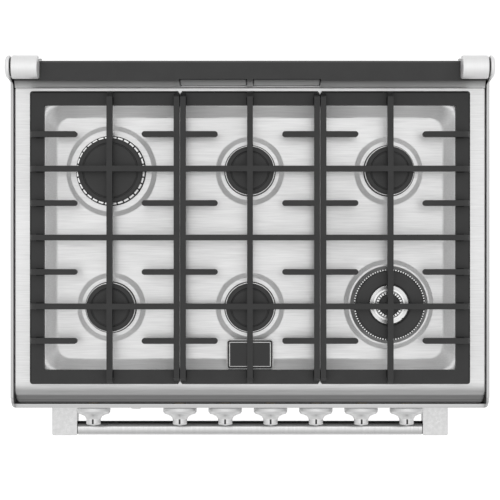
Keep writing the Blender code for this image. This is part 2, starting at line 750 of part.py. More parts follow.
def make_fan_cover(enamel):
    wall, radius, depth = 0.0015, FAN_COVER_RADIUS, FAN_COVER_DEPTH
    profile = [
        (0, depth - wall),
        (radius - 0.004, depth - wall),
        (radius - wall, depth - 0.003),
        (radius - wall, 0),
        (radius, 0),
        (radius, depth - 0.002),
        (radius - 0.002, depth),
        (0, depth),
    ]
    cover = turned(profile, (0, OVEN_BACK_Y - FIT, FAN_Z), (0, -1, 0), MEDIUM)
    slots, inner, outer, half = 8, 0.030, 0.090, 0.0035
    for i in range(slots):
        slot = box((inner, outer), (-0.01, 0.01), (-half, half))
        slot.matrix_world = Matrix.Translation((0, OVEN_BACK_Y - depth, FAN_Z)) @ Matrix.Rotation(
            2 * math.pi * (i + 0.5) / slots, 4, "Y"
        )
        bpy.context.view_layer.update()
        cut(cover, slot)
    finish(cover, "fan_cover", enamel, smooth=True)


def make_convection_fan(steel):
    """A paddle wheel: its hub and blades are one outline, pressed on the shaft."""
    front, back = OVEN_BACK_Y - 0.024, OVEN_BACK_Y - 0.006
    blades, hub, half = 8, 0.016, 0.0012
    outline = []
    for i in range(blades):
        angle = 2 * math.pi * i / blades
        along = Vector((math.cos(angle), math.sin(angle)))
        across = Vector((-along.y, along.x)) * half
        for reach, edge in ((hub, -1), (FAN_RADIUS, -1), (FAN_RADIUS, 1), (hub, 1)):
            corner = along * reach + across * edge
            outline.append((corner.x, corner.y + FAN_Z))
    fan = prism(outline, (front, back), "Y")
    joined(fan, rod((0, front - 0.002, FAN_Z), (0, LINER_BACK_Y + 0.030, FAN_Z), SHAFT_RADIUS, 12))
    finish(fan, "convection_fan", steel, origin=(0, OVEN_BACK_Y, FAN_Z))


def make_fan_motor(dark):
    bore = SHAFT_RADIUS + FIT
    depth, radius, round_over, length = 0.032, 0.038, 0.004, 0.048
    profile = [
        (0, depth),
        (bore, depth),
        (bore, 0),
        (radius - round_over, 0),
        (radius, round_over),
        (radius, length - round_over),
        (radius - round_over, length),
        (0, length),
    ]
    motor = turned(profile, (0, LINER_BACK_Y + FIT, FAN_Z), (0, 1, 0), 14)
    finish(motor, "fan_motor", dark, smooth=True)


def make_oven_lamp(glass):
    profile = [(0, 0), (0.026, 0), (0.026, 0.006), (0.021, 0.012), (0.010, 0.0155), (0, 0.0165)]
    place = (-OVEN_HALF + 0.085, OVEN_BACK_Y - FIT, OVEN_ROOF_Z - 0.070)
    finish(turned(profile, place, (0, -1, 0), 14), "oven_lamp", glass, smooth=True)


def rack_box():
    half = OVEN_HALF - LEDGE_DEPTH + 0.004
    return half, CABINET_FRONT_Y + RACK_FRONT_INSET, OVEN_BACK_Y - RACK_BACK_INSET


def make_racks(chrome):
    half, front, back = rack_box()
    for name, level in RACK_LEDGES.items():
        z = ledge_top(level) + FIT + RACK_ROD
        rack = rod((-half, front, z), (-half, back, z), RACK_ROD, ROUGH)
        joined(rack, rod((half, front, z), (half, back, z), RACK_ROD, ROUGH))
        reach = half + RACK_ROD * 0.5
        for y in (front, (front + back) / 2, back):
            joined(rack, rod((-reach, y, z), (reach, y, z), RACK_ROD * 0.95, ROUGH))
        for i in range(RACK_WIRES):
            x = half * (2 * (i + 1) / (RACK_WIRES + 1) - 1)
            lift = z + RACK_ROD
            joined(rack, rod((x, front - 0.001, lift), (x, back + 0.001, lift), RACK_WIRE, 4))
        finish(rack, f"rack_{name}", chrome, origin=(0, front, z), smooth=True)


def make_door_gasket(rubber):
    width, lap = 0.014, 0.006
    inner = (OVEN_HALF + lap, OVEN_FLOOR_Z - lap, OVEN_ROOF_Z + lap)
    outer = (inner[0] + width, inner[1] - width, inner[2] + width)
    y = (CABINET_FRONT_Y - FIT, DOOR_BACK_Y + FIT)
    gasket = box((-outer[0], outer[0]), y, outer[1:])
    cut(gasket, box((-inner[0], inner[0]), (y[1] - 0.01, y[0] + 0.01), inner[1:]))
    finish(gasket, "door_gasket", rubber)


# ---------------------------------------------------------------- door


def hinge_pocket(side):
    half = LUG_WIDTH / 2 + CHEEK_WIDTH + 2 * FIT
    x = (side * HINGE_X - half, side * HINGE_X + half)
    y = (HINGE_Y - LUG_RADIUS - POCKET_CLEARANCE, DOOR_BACK_Y + 0.01)
    return box(x, y, (DOOR_BOTTOM_Z - 0.01, HINGE_Z + POCKET_RISE))


def make_door(steel, enamel, glass, hardware, door_pivot):
    place = {"parent": door_pivot, "origin": door_pivot.location}
    back = DOOR_LINER_Y - FIT
    skin = box((-DOOR_HALF, DOOR_HALF), (DOOR_FACE_Y, back), (DOOR_BOTTOM_Z, DOOR_TOP_Z))
    inner_half = DOOR_HALF - SHEET
    hollow_z = (DOOR_BOTTOM_Z + SHEET, DOOR_TOP_Z - SHEET)
    hollow = box((-inner_half, inner_half), (DOOR_FACE_Y + SHEET, back + 0.01), hollow_z)
    cut(skin, hollow)
    window_z = (WINDOW_BOTTOM_Z, WINDOW_TOP_Z)
    cut(skin, box((-WINDOW_HALF, WINDOW_HALF), (DOOR_FACE_Y - 0.01, DOOR_FACE_Y + 0.01), window_z))
    liner = box((-DOOR_HALF, DOOR_HALF), (DOOR_LINER_Y, DOOR_BACK_Y), (DOOR_BOTTOM_Z, DOOR_TOP_Z))
    cut(liner, box((-WINDOW_HALF, WINDOW_HALF), (DOOR_LINER_Y - 0.01, DOOR_BACK_Y + 0.01), window_z))
    for side in (-1, 1):
        cut(skin, hinge_pocket(side))
        cut(liner, hinge_pocket(side))
    finish(skin, "door_skin", steel, **place)
    finish(liner, "door_liner", enamel, **place)

    glass_half = WINDOW_HALF + GLASS_LAP
    glass_z = (WINDOW_BOTTOM_Z - GLASS_LAP, WINDOW_TOP_Z + GLASS_LAP)
    outer_y = DOOR_FACE_Y + SHEET + FIT
    outer = box((-glass_half, glass_half), (outer_y, outer_y + GLASS), glass_z)
    finish(outer, "door_glass_outer", glass, **place)
    inner_y = DOOR_LINER_Y - FIT
    inner = box((-glass_half, glass_half), (inner_y - GLASS, inner_y), glass_z)
    finish(inner, "door_glass_inner", glass, **place)

    for side in (-1, 1):
        finish(door_hinge(side), f"door_hinge_{side_name(side)}", hardware, smooth=True, **place)


def door_hinge(side):
    """A fork set in the door's pocket: two cheeks, a bridge in front and the pin across them."""
    half = LUG_WIDTH / 2 + CHEEK_WIDTH
    top = HINGE_Z + POCKET_RISE - FIT
    front = HINGE_Y - LUG_RADIUS - POCKET_CLEARANCE + FIT
    x = side * HINGE_X
    bottom = DOOR_BOTTOM_Z + FIT
    bridge = box((x - half, x + half), (front, HINGE_Y - LUG_RADIUS - 0.0005), (bottom, top))
    for end in (-1, 1):
        span = (x + end * (LUG_WIDTH / 2 + 2 * FIT), x + end * half)
        cheek = box(span, (front + 0.001, DOOR_BACK_Y - FIT), (bottom, top))
        joined(bridge, cheek)
    pin_half = half - 0.002
    pin = rod((x - pin_half, HINGE_Y, HINGE_Z), (x + pin_half, HINGE_Y, HINGE_Z), PIN_RADIUS, COARSE)
    return joined(bridge, pin)


def make_handle(steel, door_pivot):
    place = {"parent": door_pivot, "origin": door_pivot.location}
    inner = HANDLE_HALF - BRACKET_WIDTH
    axis_y = FRONT_Y + HANDLE_RADIUS
    length = inner - FIT
    bar = rod((-length, axis_y, HANDLE_Z), (length, axis_y, HANDLE_Z), HANDLE_RADIUS, MEDIUM)
    finish(bar, "handle_bar", steel, smooth=True, **place)
    for side in (-1, 1):
        bracket = box(
            (side * inner, side * HANDLE_HALF),
            (FRONT_Y, DOOR_FACE_Y - FIT),
            (HANDLE_Z - BRACKET_HEIGHT / 2, HANDLE_Z + BRACKET_HEIGHT / 2),
        )
        bm = bmesh.new()
        bm.from_mesh(bracket.data)
        front_edges = [e for e in bm.edges if all(abs(v.co.y - FRONT_Y) < 1e-5 for v in e.verts)]
        bmesh.ops.bevel(bm, geom=front_edges, offset=0.0025, segments=2, profile=0.5, affect="EDGES")
        bm.to_mesh(bracket.data)
        bm.free()
        finish(bracket, f"handle_bracket_{side_name(side)}", steel, smooth=True, **place)


# ---------------------------------------------------------------- worktop


def rounded_outline(half, front, rear, front_radius, rear_radius, steps=3):
    """Plan points of a rectangle with round corners, anticlockwise from the rear right corner,
    each with how far it belongs to the front edge, from 0 at the sides to 1."""
    corners = [
        (half, rear, rear_radius, 0, 0),
        (-half, rear, rear_radius, 90, 0),
        (-half, front, front_radius, 180, 1),
        (half, front, front_radius, 270, 1),
    ]
    points = []
    for x, y, radius, start, is_front in corners:
        centre_x = x - math.copysign(radius, x)
        centre_y = y - radius if y == rear else y + radius
        for i in range(steps + 1):
            angle = math.radians(start + 90 * i / steps)
            share = is_front * math.sin(angle) ** 2
            points.append((centre_x + radius * math.cos(angle), centre_y + radius * math.sin(angle), share))
    return points


def worktop_loops(depth):
    """Loops of points from the skirt's edge to the pan, on the top face or depth below it."""
    loops = []
    steps = 4
    for i in range(steps + 2):
        angle = math.pi / 2 * max(steps - i + 1, 0) / steps if i else math.pi / 2
        sine, cosine = math.sin(angle), math.cos(angle)
        inset = depth * sine
        outline = rounded_outline(
            WORKTOP_HALF - EDGE_RADIUS * (1 - sine) - inset,
            WORKTOP_FRONT_Y + NOSE_DEPTH * (1 - sine) + inset,
            WORKTOP_REAR_Y - EDGE_RADIUS * (1 - sine) - inset,
            RIM_CORNER - inset,
            EDGE_RADIUS * 1.5 - inset * 0.5,
        )
        loop = []
        for x, y, share in outline:
            drop = (share * (SKIRT_DROP - 0.001) + (1 - share) * EDGE_RADIUS) * (1 - cosine)
            z = WORKTOP_Z - SKIRT_DROP if i == 0 else WORKTOP_Z - drop - depth * cosine
            loop.append((x, y, z))
        loops.append(loop)
    grow = depth * 0.4  # keeps the wall's thickness on the slopes
    pan = [
        (0, PAN_CORNER + PAN_SLOPE_SIDE * 0.5 + grow, 0),
        (1, PAN_CORNER + grow, PAN_DEPTH),
    ]
    for step, radius, down in pan:
        outline = rounded_outline(
            PAN_HALF - step * PAN_SLOPE_SIDE + grow,
            PAN_FRONT_Y + step * PAN_SLOPE_FRONT - grow,
            PAN_REAR_Y - step * PAN_SLOPE_REAR + grow,
            radius,
            radius,
        )
        loops.append([(x, y, WORKTOP_Z - down - depth) for x, y, _ in outline])
    return loops


def bridge(bm, first, second):
    count = len(first)
    for i in range(count):
        j = (i + 1) % count
        bm.faces.new((first[i], first[j], second[j], second[i]))


def ring_of(bm, x, y, z, radius, sides):
    angles = [2 * math.pi * i / sides for i in range(sides)]
    return [bm.verts.new((x + radius * math.cos(a), y + radius * math.sin(a), z)) for a in angles]


def loop_edges(bm, ring):
    return [bm.edges.get((a, b)) for a, b in zip(ring, ring[1:] + ring[:1])]


def make_worktop(steel):
    bm = bmesh.new()
    skins = []
    for depth in (0, SHEET):
        loops = [[bm.verts.new(point) for point in loop] for loop in worktop_loops(depth)]
        for first, second in zip(loops, loops[1:]):
            bridge(bm, first, second)
        fill = loop_edges(bm, loops[-1])
        holes = []
        for burner in BURNERS:
            kind = KINDS[burner.kind]
            x, y = burner_place(burner)
            sides = 24 if burner.kind == "small" else FINE
            foot = ring_of(bm, x, y, PAN_Z - depth, kind.foot - depth * 0.4, sides)
            seat = ring_of(bm, x, y, SEAT_Z - depth, kind.seat - depth * 0.4, sides)
            hole = ring_of(bm, x, y, SEAT_Z - depth, BURNER_HOLE, sides)
            bridge(bm, foot, seat)
            bridge(bm, seat, hole)
            fill += loop_edges(bm, foot)
            holes.append(hole)
        bmesh.ops.triangle_fill(bm, use_beauty=True, edges=fill, normal=(0, 0, 1))
        skins.append((loops[0], holes))
    (top_edge, top_holes), (low_edge, low_holes) = skins
    bridge(bm, top_edge, low_edge)
    for upper, lower in zip(top_holes, low_holes):
        bridge(bm, upper, lower)
    finish(to_object(bm), "worktop", steel, smooth=True)


def make_badge_plate(black):
    """A blank plate behind the grate's front rail, on the pan and its front slope. Its rear edge
    reaches over the foot of the burner seat behind it."""
    front = GRATE_FRONT_Y + WIDE_RAIL + FIT
    rear = front + PLATE_DEPTH
    slope_end = PAN_FRONT_Y + PAN_SLOPE_FRONT
    down = PAN_DEPTH * max(front - PAN_FRONT_Y, 0) / PAN_SLOPE_FRONT
    top = WORKTOP_Z + PLATE_RISE
    lift = 1.5 * FIT
    outline = [
        (front, top),
        (front, WORKTOP_Z - down + lift),
        (slope_end, PAN_Z + lift),
        (rear - PLATE_OVERHANG, PAN_Z + lift),
        (rear - PLATE_OVERHANG, PAN_Z + BOSS_RISE * 0.75),
        (rear, PAN_Z + BOSS_RISE * 0.75),
        (rear, top),
    ]
    plate = prism(outline, (-PLATE_HALF_WIDTH, PLATE_HALF_WIDTH))
    finish(plate, "badge_plate", black)


# ---------------------------------------------------------------- burners


def make_burner_heads(aluminium):
    for burner in BURNERS:
        kind = KINDS[burner.kind]
        x, y = burner_place(burner)
        flange = kind.port + 0.004 if burner.kind != "ring" else kind.port
        profile = [
            (BURNER_THROAT, -STEM_DROP),
            (BURNER_STEM, -STEM_DROP),
            (BURNER_STEM, FIT),
            (flange, FIT),
            (flange, 0.003),
        ]
        top = HEAD_HEIGHT
        if burner.kind == "ring":
            wall = kind.cap + 0.002
            profile += [(wall, 0.006), (wall, top), (RING_FLOOR_RADIUS, top), (RING_FLOOR_RADIUS, 0.007)]
            profile += [(RING_CENTRE_RADIUS, 0.007), (RING_CENTRE_RADIUS, top - 0.001)]
            profile += [(BURNER_THROAT, top - 0.001)]
        else:
            profile += [(kind.port, 0.005), (kind.port, top - 0.003)]
            profile += [(kind.cap - 0.002, top), (BURNER_THROAT, top)]
        head = turned(profile, (x, y, SEAT_Z), (0, 0, 1), MEDIUM)
        finish(head, f"burner_head_{burner.name}", aluminium, smooth=True)


def cap_profile(radius, step):
    return [
        (0, 0),
        (radius - 0.002, 0),
        (radius, 0.002),
        (radius, 0.0052),
        (radius - 0.0025, 0.0072),
        (step + 0.0015, 0.0077),
        (step, 0.0062),
        (step - 0.0015, 0.0082),
        (0, 0.0088),
    ]


def make_burner_caps(enamel):
    for burner in BURNERS:
        kind = KINDS[burner.kind]
        x, y = burner_place(burner)
        z = SEAT_Z + HEAD_HEIGHT + FIT
        if burner.kind == "ring":
            outer, inner = kind.cap, kind.step
            profile = [
                (inner, 0),
                (outer - 0.002, 0),
                (outer, 0.002),
                (outer, 0.0052),
                (outer - 0.0025, 0.0072),
                (inner + 0.0025, 0.0072),
                (inner, 0.0052),
            ]
            ring = turned(profile, (x, y, z), (0, 0, 1), 24)
            finish(ring, "burner_cap_front_right_ring", enamel, smooth=True)
            centre = turned(
                cap_profile(RING_CENTRE_CAP, RING_CENTRE_CAP * 0.6), (x, y, z - 0.001), (0, 0, 1), 14
            )
            finish(centre, "burner_cap_front_right_centre", enamel, smooth=True)
        else:
            cap = turned(cap_profile(kind.cap, kind.step), (x, y, z), (0, 0, 1), MEDIUM)
            finish(cap, f"burner_cap_{burner.name}", enamel, smooth=True)


# ---------------------------------------------------------------- grates


def bar_outline(start, end, start_rail, end_rail):
    """Side view of a bar: its top is chamfered where it runs over a wide rail, and it drops
    onto the rail there. A rail of width 0 leaves that end square."""
    top, bottom = WORKTOP_Z + BAR_TOP, WORKTOP_Z + BAR_BOTTOM
    foot = WORKTOP_Z + RAIL_TOP / 2
    crest = WORKTOP_Z + RAIL_TOP + 0.002
    points = []
    if start_rail:
        points += [(start + 0.001, crest), (start + BAR_TAPER, top)]
    else:
        points += [(start, top)]
    if end_rail:
        points += [(end - BAR_TAPER, top), (end - 0.001, crest), (end - 0.001, foot)]
        points += [(end - end_rail + 0.002, foot), (end - end_rail - 0.003, bottom)]
    else:
        points += [(end, top), (end, bottom)]
    if start_rail:
        points += [(start + start_rail + 0.003, bottom), (start + start_rail - 0.002, foot)]
        points += [(start + 0.001, foot)]
    else:
        points += [(start, bottom)]
    return points


def finger_rows():
    return [GRATE_MID_Y + (i - 1.5) * CROSS_PITCH for i in range(4)]


def make_grate(name, column, iron):
    centre = column * COLUMN_PITCH
    pitch = COLUMN_PITCH / 2 - JOINT_GAP
    left = -GRATE_HALF if column < 0 else centre - pitch
    right = GRATE_HALF if column > 0 else centre + pitch
    left_rail = WIDE_RAIL if column < 0 else 0
    right_rail = WIDE_RAIL if column > 0 else 0
    base = WORKTOP_Z + FIT
    ring_z = (base, WORKTOP_Z + RAIL_TOP)
    full_z = (base, WORKTOP_Z + BAR_TOP - 0.001)
    left_inner = left + (left_rail or NARROW_RAIL)
    right_inner = right - (right_rail or NARROW_RAIL)

    grate = box((left, right), (GRATE_FRONT_Y, GRATE_REAR_Y), ring_z)
    window = box(
        (left_inner, right_inner),
        (GRATE_FRONT_Y + WIDE_RAIL, GRATE_REAR_Y - WIDE_RAIL),
        (base - 0.01, ring_z[1] + 0.01),
    )
    cut(grate, window)
    for has_wide, x in ((left_rail, (left, left_inner)), (right_rail, (right_inner, right))):
        if not has_wide:
            joined(grate, box(x, (GRATE_FRONT_Y + BAR_TAPER, GRATE_REAR_Y - BAR_TAPER), full_z))

    half = BAR_WIDTH / 2
    long_bar = bar_outline(GRATE_FRONT_Y, GRATE_REAR_Y, WIDE_RAIL, WIDE_RAIL)
    joined(grate, prism(long_bar, (centre - half, centre + half)))
    start = left if left_rail else left_inner - 0.002
    end = right if right_rail else right_inner + 0.002
    for i in (-1, 0, 1):
        y = GRATE_MID_Y + i * CROSS_PITCH
        joined(grate, prism(bar_outline(start, end, left_rail, right_rail), (y - half, y + half), "Y"))
    for y in finger_rows():
        for side in (-1, 1):
            tip = centre + side * (FINGER_GAP + half)
            if side < 0:
                outline = bar_outline(start, tip, left_rail, 0)
            else:
                outline = bar_outline(tip, end, 0, right_rail)
            joined(grate, prism(outline, (y - half, y + half), "Y"))
            low, high = WORKTOP_Z + BAR_BOTTOM, WORKTOP_Z + BAR_TOP
            joined(grate, rod((tip, y, low), (tip, y, high), half, 8))
    origin = (centre, GRATE_MID_Y, base)
    finish(grate, f"grate_{name}", iron, origin=origin)


# ---------------------------------------------------------------- backguard


def end_saddle(side):
    reach = HALF_WIDTH + 0.02
    start = END_X - 0.001
    radius = END_RADIUS + SADDLE_CLEARANCE
    return rod((side * start, END_Y, END_Z), (side * reach, END_Y, END_Z), radius, 24)


def vent_notch(side):
    return box(
        (side * SLOT_INNER, side * SLOT_OUTER),
        (BACKGUARD_Y - 0.01, BACKGUARD_Y + BACKGUARD_LEAN + SLOT_NOTCH),
        (WORKTOP_Z + SLOT_RISE, CAP_Z + 0.01),
    )


def make_backguard(steel, black):
    foot = WORKTOP_Z + FIT
    deck = CAP_Z - CAP_THICKNESS - FIT
    lean = BACKGUARD_LEAN * (deck - foot) / BACKGUARD_HEIGHT
    outer = [
        (BACKGUARD_Y, foot),
        (BACKGUARD_Y + lean, deck),
        (CABINET_REAR_Y, deck),
        (CABINET_REAR_Y, foot),
    ]
    wall = 0.0015
    inner = [
        (BACKGUARD_Y + wall, foot - 0.01),
        (BACKGUARD_Y + wall, foot),
        (BACKGUARD_Y + lean + wall, deck - wall),
        (CABINET_REAR_Y - wall, deck - wall),
        (CABINET_REAR_Y - wall, foot - 0.01),
    ]
    guard = prism(outer, (-WORKTOP_HALF, WORKTOP_HALF))
    cut(guard, prism(inner, (-WORKTOP_HALF + wall, WORKTOP_HALF - wall)))
    lip_y = (CABINET_REAR_Y - CAP_LIP + FIT, CABINET_REAR_Y)
    lip = box((-WORKTOP_HALF, WORKTOP_HALF), lip_y, (deck - 0.0005, CAP_Z))
    joined(guard, lip)
    for side in (-1, 1):
        cut(guard, vent_notch(side))
        baffle = [
            (BACKGUARD_Y + wall / 2, WORKTOP_Z + SLOT_RISE - 0.004),
            (BACKGUARD_Y + SLOT_NOTCH + wall, WORKTOP_Z + SLOT_RISE - 0.004),
            (BACKGUARD_Y + lean + SLOT_NOTCH + wall, deck - 0.008),
            (BACKGUARD_Y + lean + SLOT_NOTCH, deck - 0.008),
            (BACKGUARD_Y + SLOT_NOTCH, WORKTOP_Z + SLOT_RISE - 0.0025),
            (BACKGUARD_Y + wall / 2, WORKTOP_Z + SLOT_RISE - 0.0025),
        ]
        margin = 0.004
        joined(guard, prism(baffle, (side * (SLOT_INNER - margin), side * (SLOT_OUTER + margin))))
        cut(guard, end_saddle(side))
    finish(guard, "backguard", steel)

    cap_y = (BACKGUARD_Y + BACKGUARD_LEAN, CABINET_REAR_Y - CAP_LIP)
    cap = box((-WORKTOP_HALF, WORKTOP_HALF), cap_y, (CAP_Z - CAP_THICKNESS, CAP_Z))
    for side in (-1, 1):
        cut(cap, vent_notch(side))
        cut(cap, end_saddle(side))
    finish(cap, "backguard_cap", black)


def make_backguard_ends(steel):
    groove = 0.0175
    length, disc = END_LENGTH, END_DISC
    profile = [
        (0, 0),
        (END_RADIUS - 0.001, 0),
        (END_RADIUS, 0.001),
        (END_RADIUS, length - 0.0012),
        (END_RADIUS - 0.0012, length),
        (groove, length),
        (groove, length + END_GROOVE),
        (END_RADIUS - 0.001, length + END_GROOVE),
        (END_RADIUS, length + END_GROOVE + 0.001),
        (END_RADIUS, length + END_GROOVE + disc - 0.005),
        (END_RADIUS * 0.8, length + END_GROOVE + disc - 0.002),
        (END_RADIUS * 0.45, length + END_GROOVE + disc - 0.0005),
        (0, length + END_GROOVE + disc),
    ]
    for side in (-1, 1):
        end = turned(profile, (side * END_X, END_Y, END_Z), (side, 0, 0), 24)
        lug = box(
            (side * (END_X - 0.005), side * (END_X + 0.002)),
            (CABINET_REAR_Y + FIT, CABINET_REAR_Y + 0.003),
            (END_Z - 0.015, END_Z + 0.002),
        )
        joined(end, lug)
        finish(end, f"backguard_end_{side_name(side)}", steel, smooth=True)


# ---------------------------------------------------------------- the range


def main():
    clear_scene()
    steel = material("brushed_steel", (0.62, 0.62, 0.61), 0.32, 1.0)
    satin = material("satin_steel", (0.72, 0.72, 0.71), 0.26, 1.0)
    paint = material("grey_paint", (0.16, 0.16, 0.17), 0.55, 0.0)
    galvanised = material("galvanised_steel", (0.45, 0.46, 0.47), 0.5, 0.9)
    brass = material("brass", (0.62, 0.50, 0.28), 0.35, 1.0)
    blue_enamel = material("oven_enamel", (0.035, 0.04, 0.06), 0.25, 0.0)
    black_enamel = material("black_enamel", (0.03, 0.03, 0.03), 0.45, 0.0)
    iron = material("cast_iron", (0.04, 0.04, 0.04), 0.6, 0.0)
    aluminium = material("cast_aluminium", (0.60, 0.60, 0.60), 0.45, 1.0)
    chrome = material("chrome", (0.80, 0.80, 0.80), 0.12, 1.0)
    glass = material("dark_glass", (0.05, 0.05, 0.05), 0.05, 0.0)
    rubber = material("gasket_rubber", (0.05, 0.05, 0.05), 0.8, 0.0)

    make_legs(satin)
    make_base_frame(paint)
    make_side_panels(steel)
    make_rear_panel(galvanised)
    make_control_panel(steel)
    make_knobs(satin)
    make_light_button(satin)
    make_gas_manifold(brass)
    make_oven_liner(blue_enamel)
    make_oven_flue(galvanised)
    make_bake_burner(aluminium)
    make_broil_burner(aluminium)
    make_fan_cover(blue_enamel)
    make_convection_fan(galvanised)
    make_fan_motor(paint)
    make_oven_lamp(glass)
    make_racks(chrome)
    make_door_gasket(rubber)
    door_pivot = pivot("door_pivot", (0, HINGE_Y, HINGE_Z))
    make_door(steel, blue_enamel, glass, galvanised, door_pivot)
    make_handle(satin, door_pivot)
    make_worktop(steel)
    make_badge_plate(black_enamel)
    make_burner_heads(aluminium)
    make_burner_caps(black_enamel)
    for name, column in (("left", -1), ("centre", 0), ("right", 1)):
        make_grate(name, column, iron)
    make_backguard(steel, black_enamel)
    make_backguard_ends(satin)


main()
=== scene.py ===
"""A six-burner freestanding gas range, dressed for its portrait.

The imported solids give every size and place, in metres. The sections follow the range as it is put
together: cabinet, oven, controls, worktop, burners, grates, backguard, door, and last the studio.
"""

import math

import bmesh
import bpy
from mathutils import Matrix, Vector


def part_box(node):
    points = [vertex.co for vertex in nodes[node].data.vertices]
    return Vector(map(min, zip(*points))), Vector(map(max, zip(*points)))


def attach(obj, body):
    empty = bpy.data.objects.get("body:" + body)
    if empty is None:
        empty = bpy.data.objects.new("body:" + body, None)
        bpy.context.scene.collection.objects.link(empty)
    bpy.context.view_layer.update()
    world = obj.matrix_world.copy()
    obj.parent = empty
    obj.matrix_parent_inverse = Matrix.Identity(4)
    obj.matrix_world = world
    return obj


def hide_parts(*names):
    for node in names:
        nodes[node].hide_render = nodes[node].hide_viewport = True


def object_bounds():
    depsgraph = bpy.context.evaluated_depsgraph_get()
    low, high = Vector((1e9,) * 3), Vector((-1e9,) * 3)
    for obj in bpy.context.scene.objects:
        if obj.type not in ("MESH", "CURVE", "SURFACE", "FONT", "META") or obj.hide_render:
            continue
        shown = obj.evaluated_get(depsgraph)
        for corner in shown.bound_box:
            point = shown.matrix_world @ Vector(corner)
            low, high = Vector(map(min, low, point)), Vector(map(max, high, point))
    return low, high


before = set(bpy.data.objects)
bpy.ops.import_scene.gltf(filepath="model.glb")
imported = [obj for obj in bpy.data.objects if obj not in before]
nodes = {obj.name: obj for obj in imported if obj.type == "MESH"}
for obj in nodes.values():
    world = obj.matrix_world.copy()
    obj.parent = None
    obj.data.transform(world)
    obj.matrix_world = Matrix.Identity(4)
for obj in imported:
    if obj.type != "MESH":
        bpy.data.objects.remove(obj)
cad_low, cad_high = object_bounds()

# ---- Base frame
# A folded steel tray with a front apron, four leg bosses and two hinge lugs, welded up and then
# powder coated dark grey, which leaves a fine orange-peel skin.


def new_material(name, colour, roughness, metallic=0.0):
    """A material and its Principled shader; values that are even all over sit on its sockets."""
    made = bpy.data.materials.new(name)
    made.use_nodes = True
    shader = made.node_tree.nodes["Principled BSDF"]
    shader.inputs["Base Color"].default_value = (*colour, 1)
    shader.inputs["Roughness"].default_value = roughness
    shader.inputs["Metallic"].default_value = metallic
    return made, shader


def stretched_position(tree, per_metre, kind="Object"):
    """Coordinates that grow by so many units a metre along each axis."""
    source = tree.nodes.new("ShaderNodeTexCoord")
    scale = tree.nodes.new("ShaderNodeMapping")
    scale.inputs["Scale"].default_value = per_metre
    tree.links.new(source.outputs[kind], scale.inputs["Vector"])
    return scale.outputs["Vector"]


def shader_group(name, inputs, outputs):
    """An empty node group with these (name, socket type, value) inputs and (name, type) outputs."""
    group = bpy.data.node_groups.new(name, "ShaderNodeTree")
    for label, kind, value in inputs:
        socket = group.interface.new_socket(label, in_out="INPUT", socket_type=kind)
        if value is not None:
            socket.default_value = value
    for label, kind in outputs:
        group.interface.new_socket(label, in_out="OUTPUT", socket_type=kind)
    start, end = group.nodes.new("NodeGroupInput"), group.nodes.new("NodeGroupOutput")
    return group, start, end


def noise(tree, vector, scale, detail=3.0, roughness=0.5):
    made = tree.nodes.new("ShaderNodeTexNoise")
    made.inputs["Scale"].default_value = scale
    made.inputs["Detail"].default_value = detail
    made.inputs["Roughness"].default_value = roughness
    tree.links.new(vector, made.inputs["Vector"])
    return made.outputs["Fac"]


def spread(tree, value, low, high, to_low, to_high):
    """Carries a value from one range to another; the new limits may be sockets."""
    made = tree.nodes.new("ShaderNodeMapRange")
    made.inputs["From Min"].default_value = low
    made.inputs["From Max"].default_value = high
    tree.links.new(value, made.inputs["Value"])
    for label, limit in (("To Min", to_low), ("To Max", to_high)):
        if isinstance(limit, bpy.types.NodeSocket):
            tree.links.new(limit, made.inputs[label])
        else:
            made.inputs[label].default_value = limit
    return made.outputs["Result"]


def blend_colours(tree, amount, first, second):
    made = tree.nodes.new("ShaderNodeMix")
    made.data_type = "RGBA"
    tree.links.new(amount, made.inputs["Factor"])
    for socket, colour in ((made.inputs[6], first), (made.inputs[7], second)):
        if isinstance(colour, bpy.types.NodeSocket):
            tree.links.new(colour, socket)
        else:
            socket.default_value = (*colour, 1)
    return made.outputs[2]


def speckle_group():
    """Fine pebbled skin with slow cloudy changes: powder coat, cast metal, blasted metal."""
    group, start, end = shader_group(
        "pebbled_skin",
        [
            ("Position", "NodeSocketVector", None),
            ("Grains per metre", "NodeSocketFloat", 900.0),
            ("Dark", "NodeSocketColor", (0.1, 0.1, 0.1, 1)),
            ("Light", "NodeSocketColor", (0.2, 0.2, 0.2, 1)),
            ("Smooth", "NodeSocketFloat", 0.4),
            ("Rough", "NodeSocketFloat", 0.6),
        ],
        [("Colour", "NodeSocketColor"), ("Roughness", "NodeSocketFloat"), ("Height", "NodeSocketFloat")],
    )
    fine = group.nodes.new("ShaderNodeTexNoise")
    fine.inputs["Detail"].default_value = 2.0
    group.links.new(start.outputs["Position"], fine.inputs["Vector"])
    group.links.new(start.outputs["Grains per metre"], fine.inputs["Scale"])
    cloud = noise(group, start.outputs["Position"], 14.0, 4.0, 0.6)
    mixed = group.nodes.new("ShaderNodeMix")
    mixed.inputs["Factor"].default_value = 0.45
    group.links.new(fine.outputs["Fac"], mixed.inputs[2])
    group.links.new(cloud, mixed.inputs[3])
    tone = spread(group, mixed.outputs[0], 0.35, 0.65, 0.0, 1.0)
    colour = blend_colours(group, tone, start.outputs["Dark"], start.outputs["Light"])
    group.links.new(colour, end.inputs["Colour"])
    shine = spread(group, cloud, 0.3, 0.7, start.outputs["Smooth"], start.outputs["Rough"])
    group.links.new(shine, end.inputs["Roughness"])
    group.links.new(fine.outputs["Fac"], end.inputs["Height"])
    return group


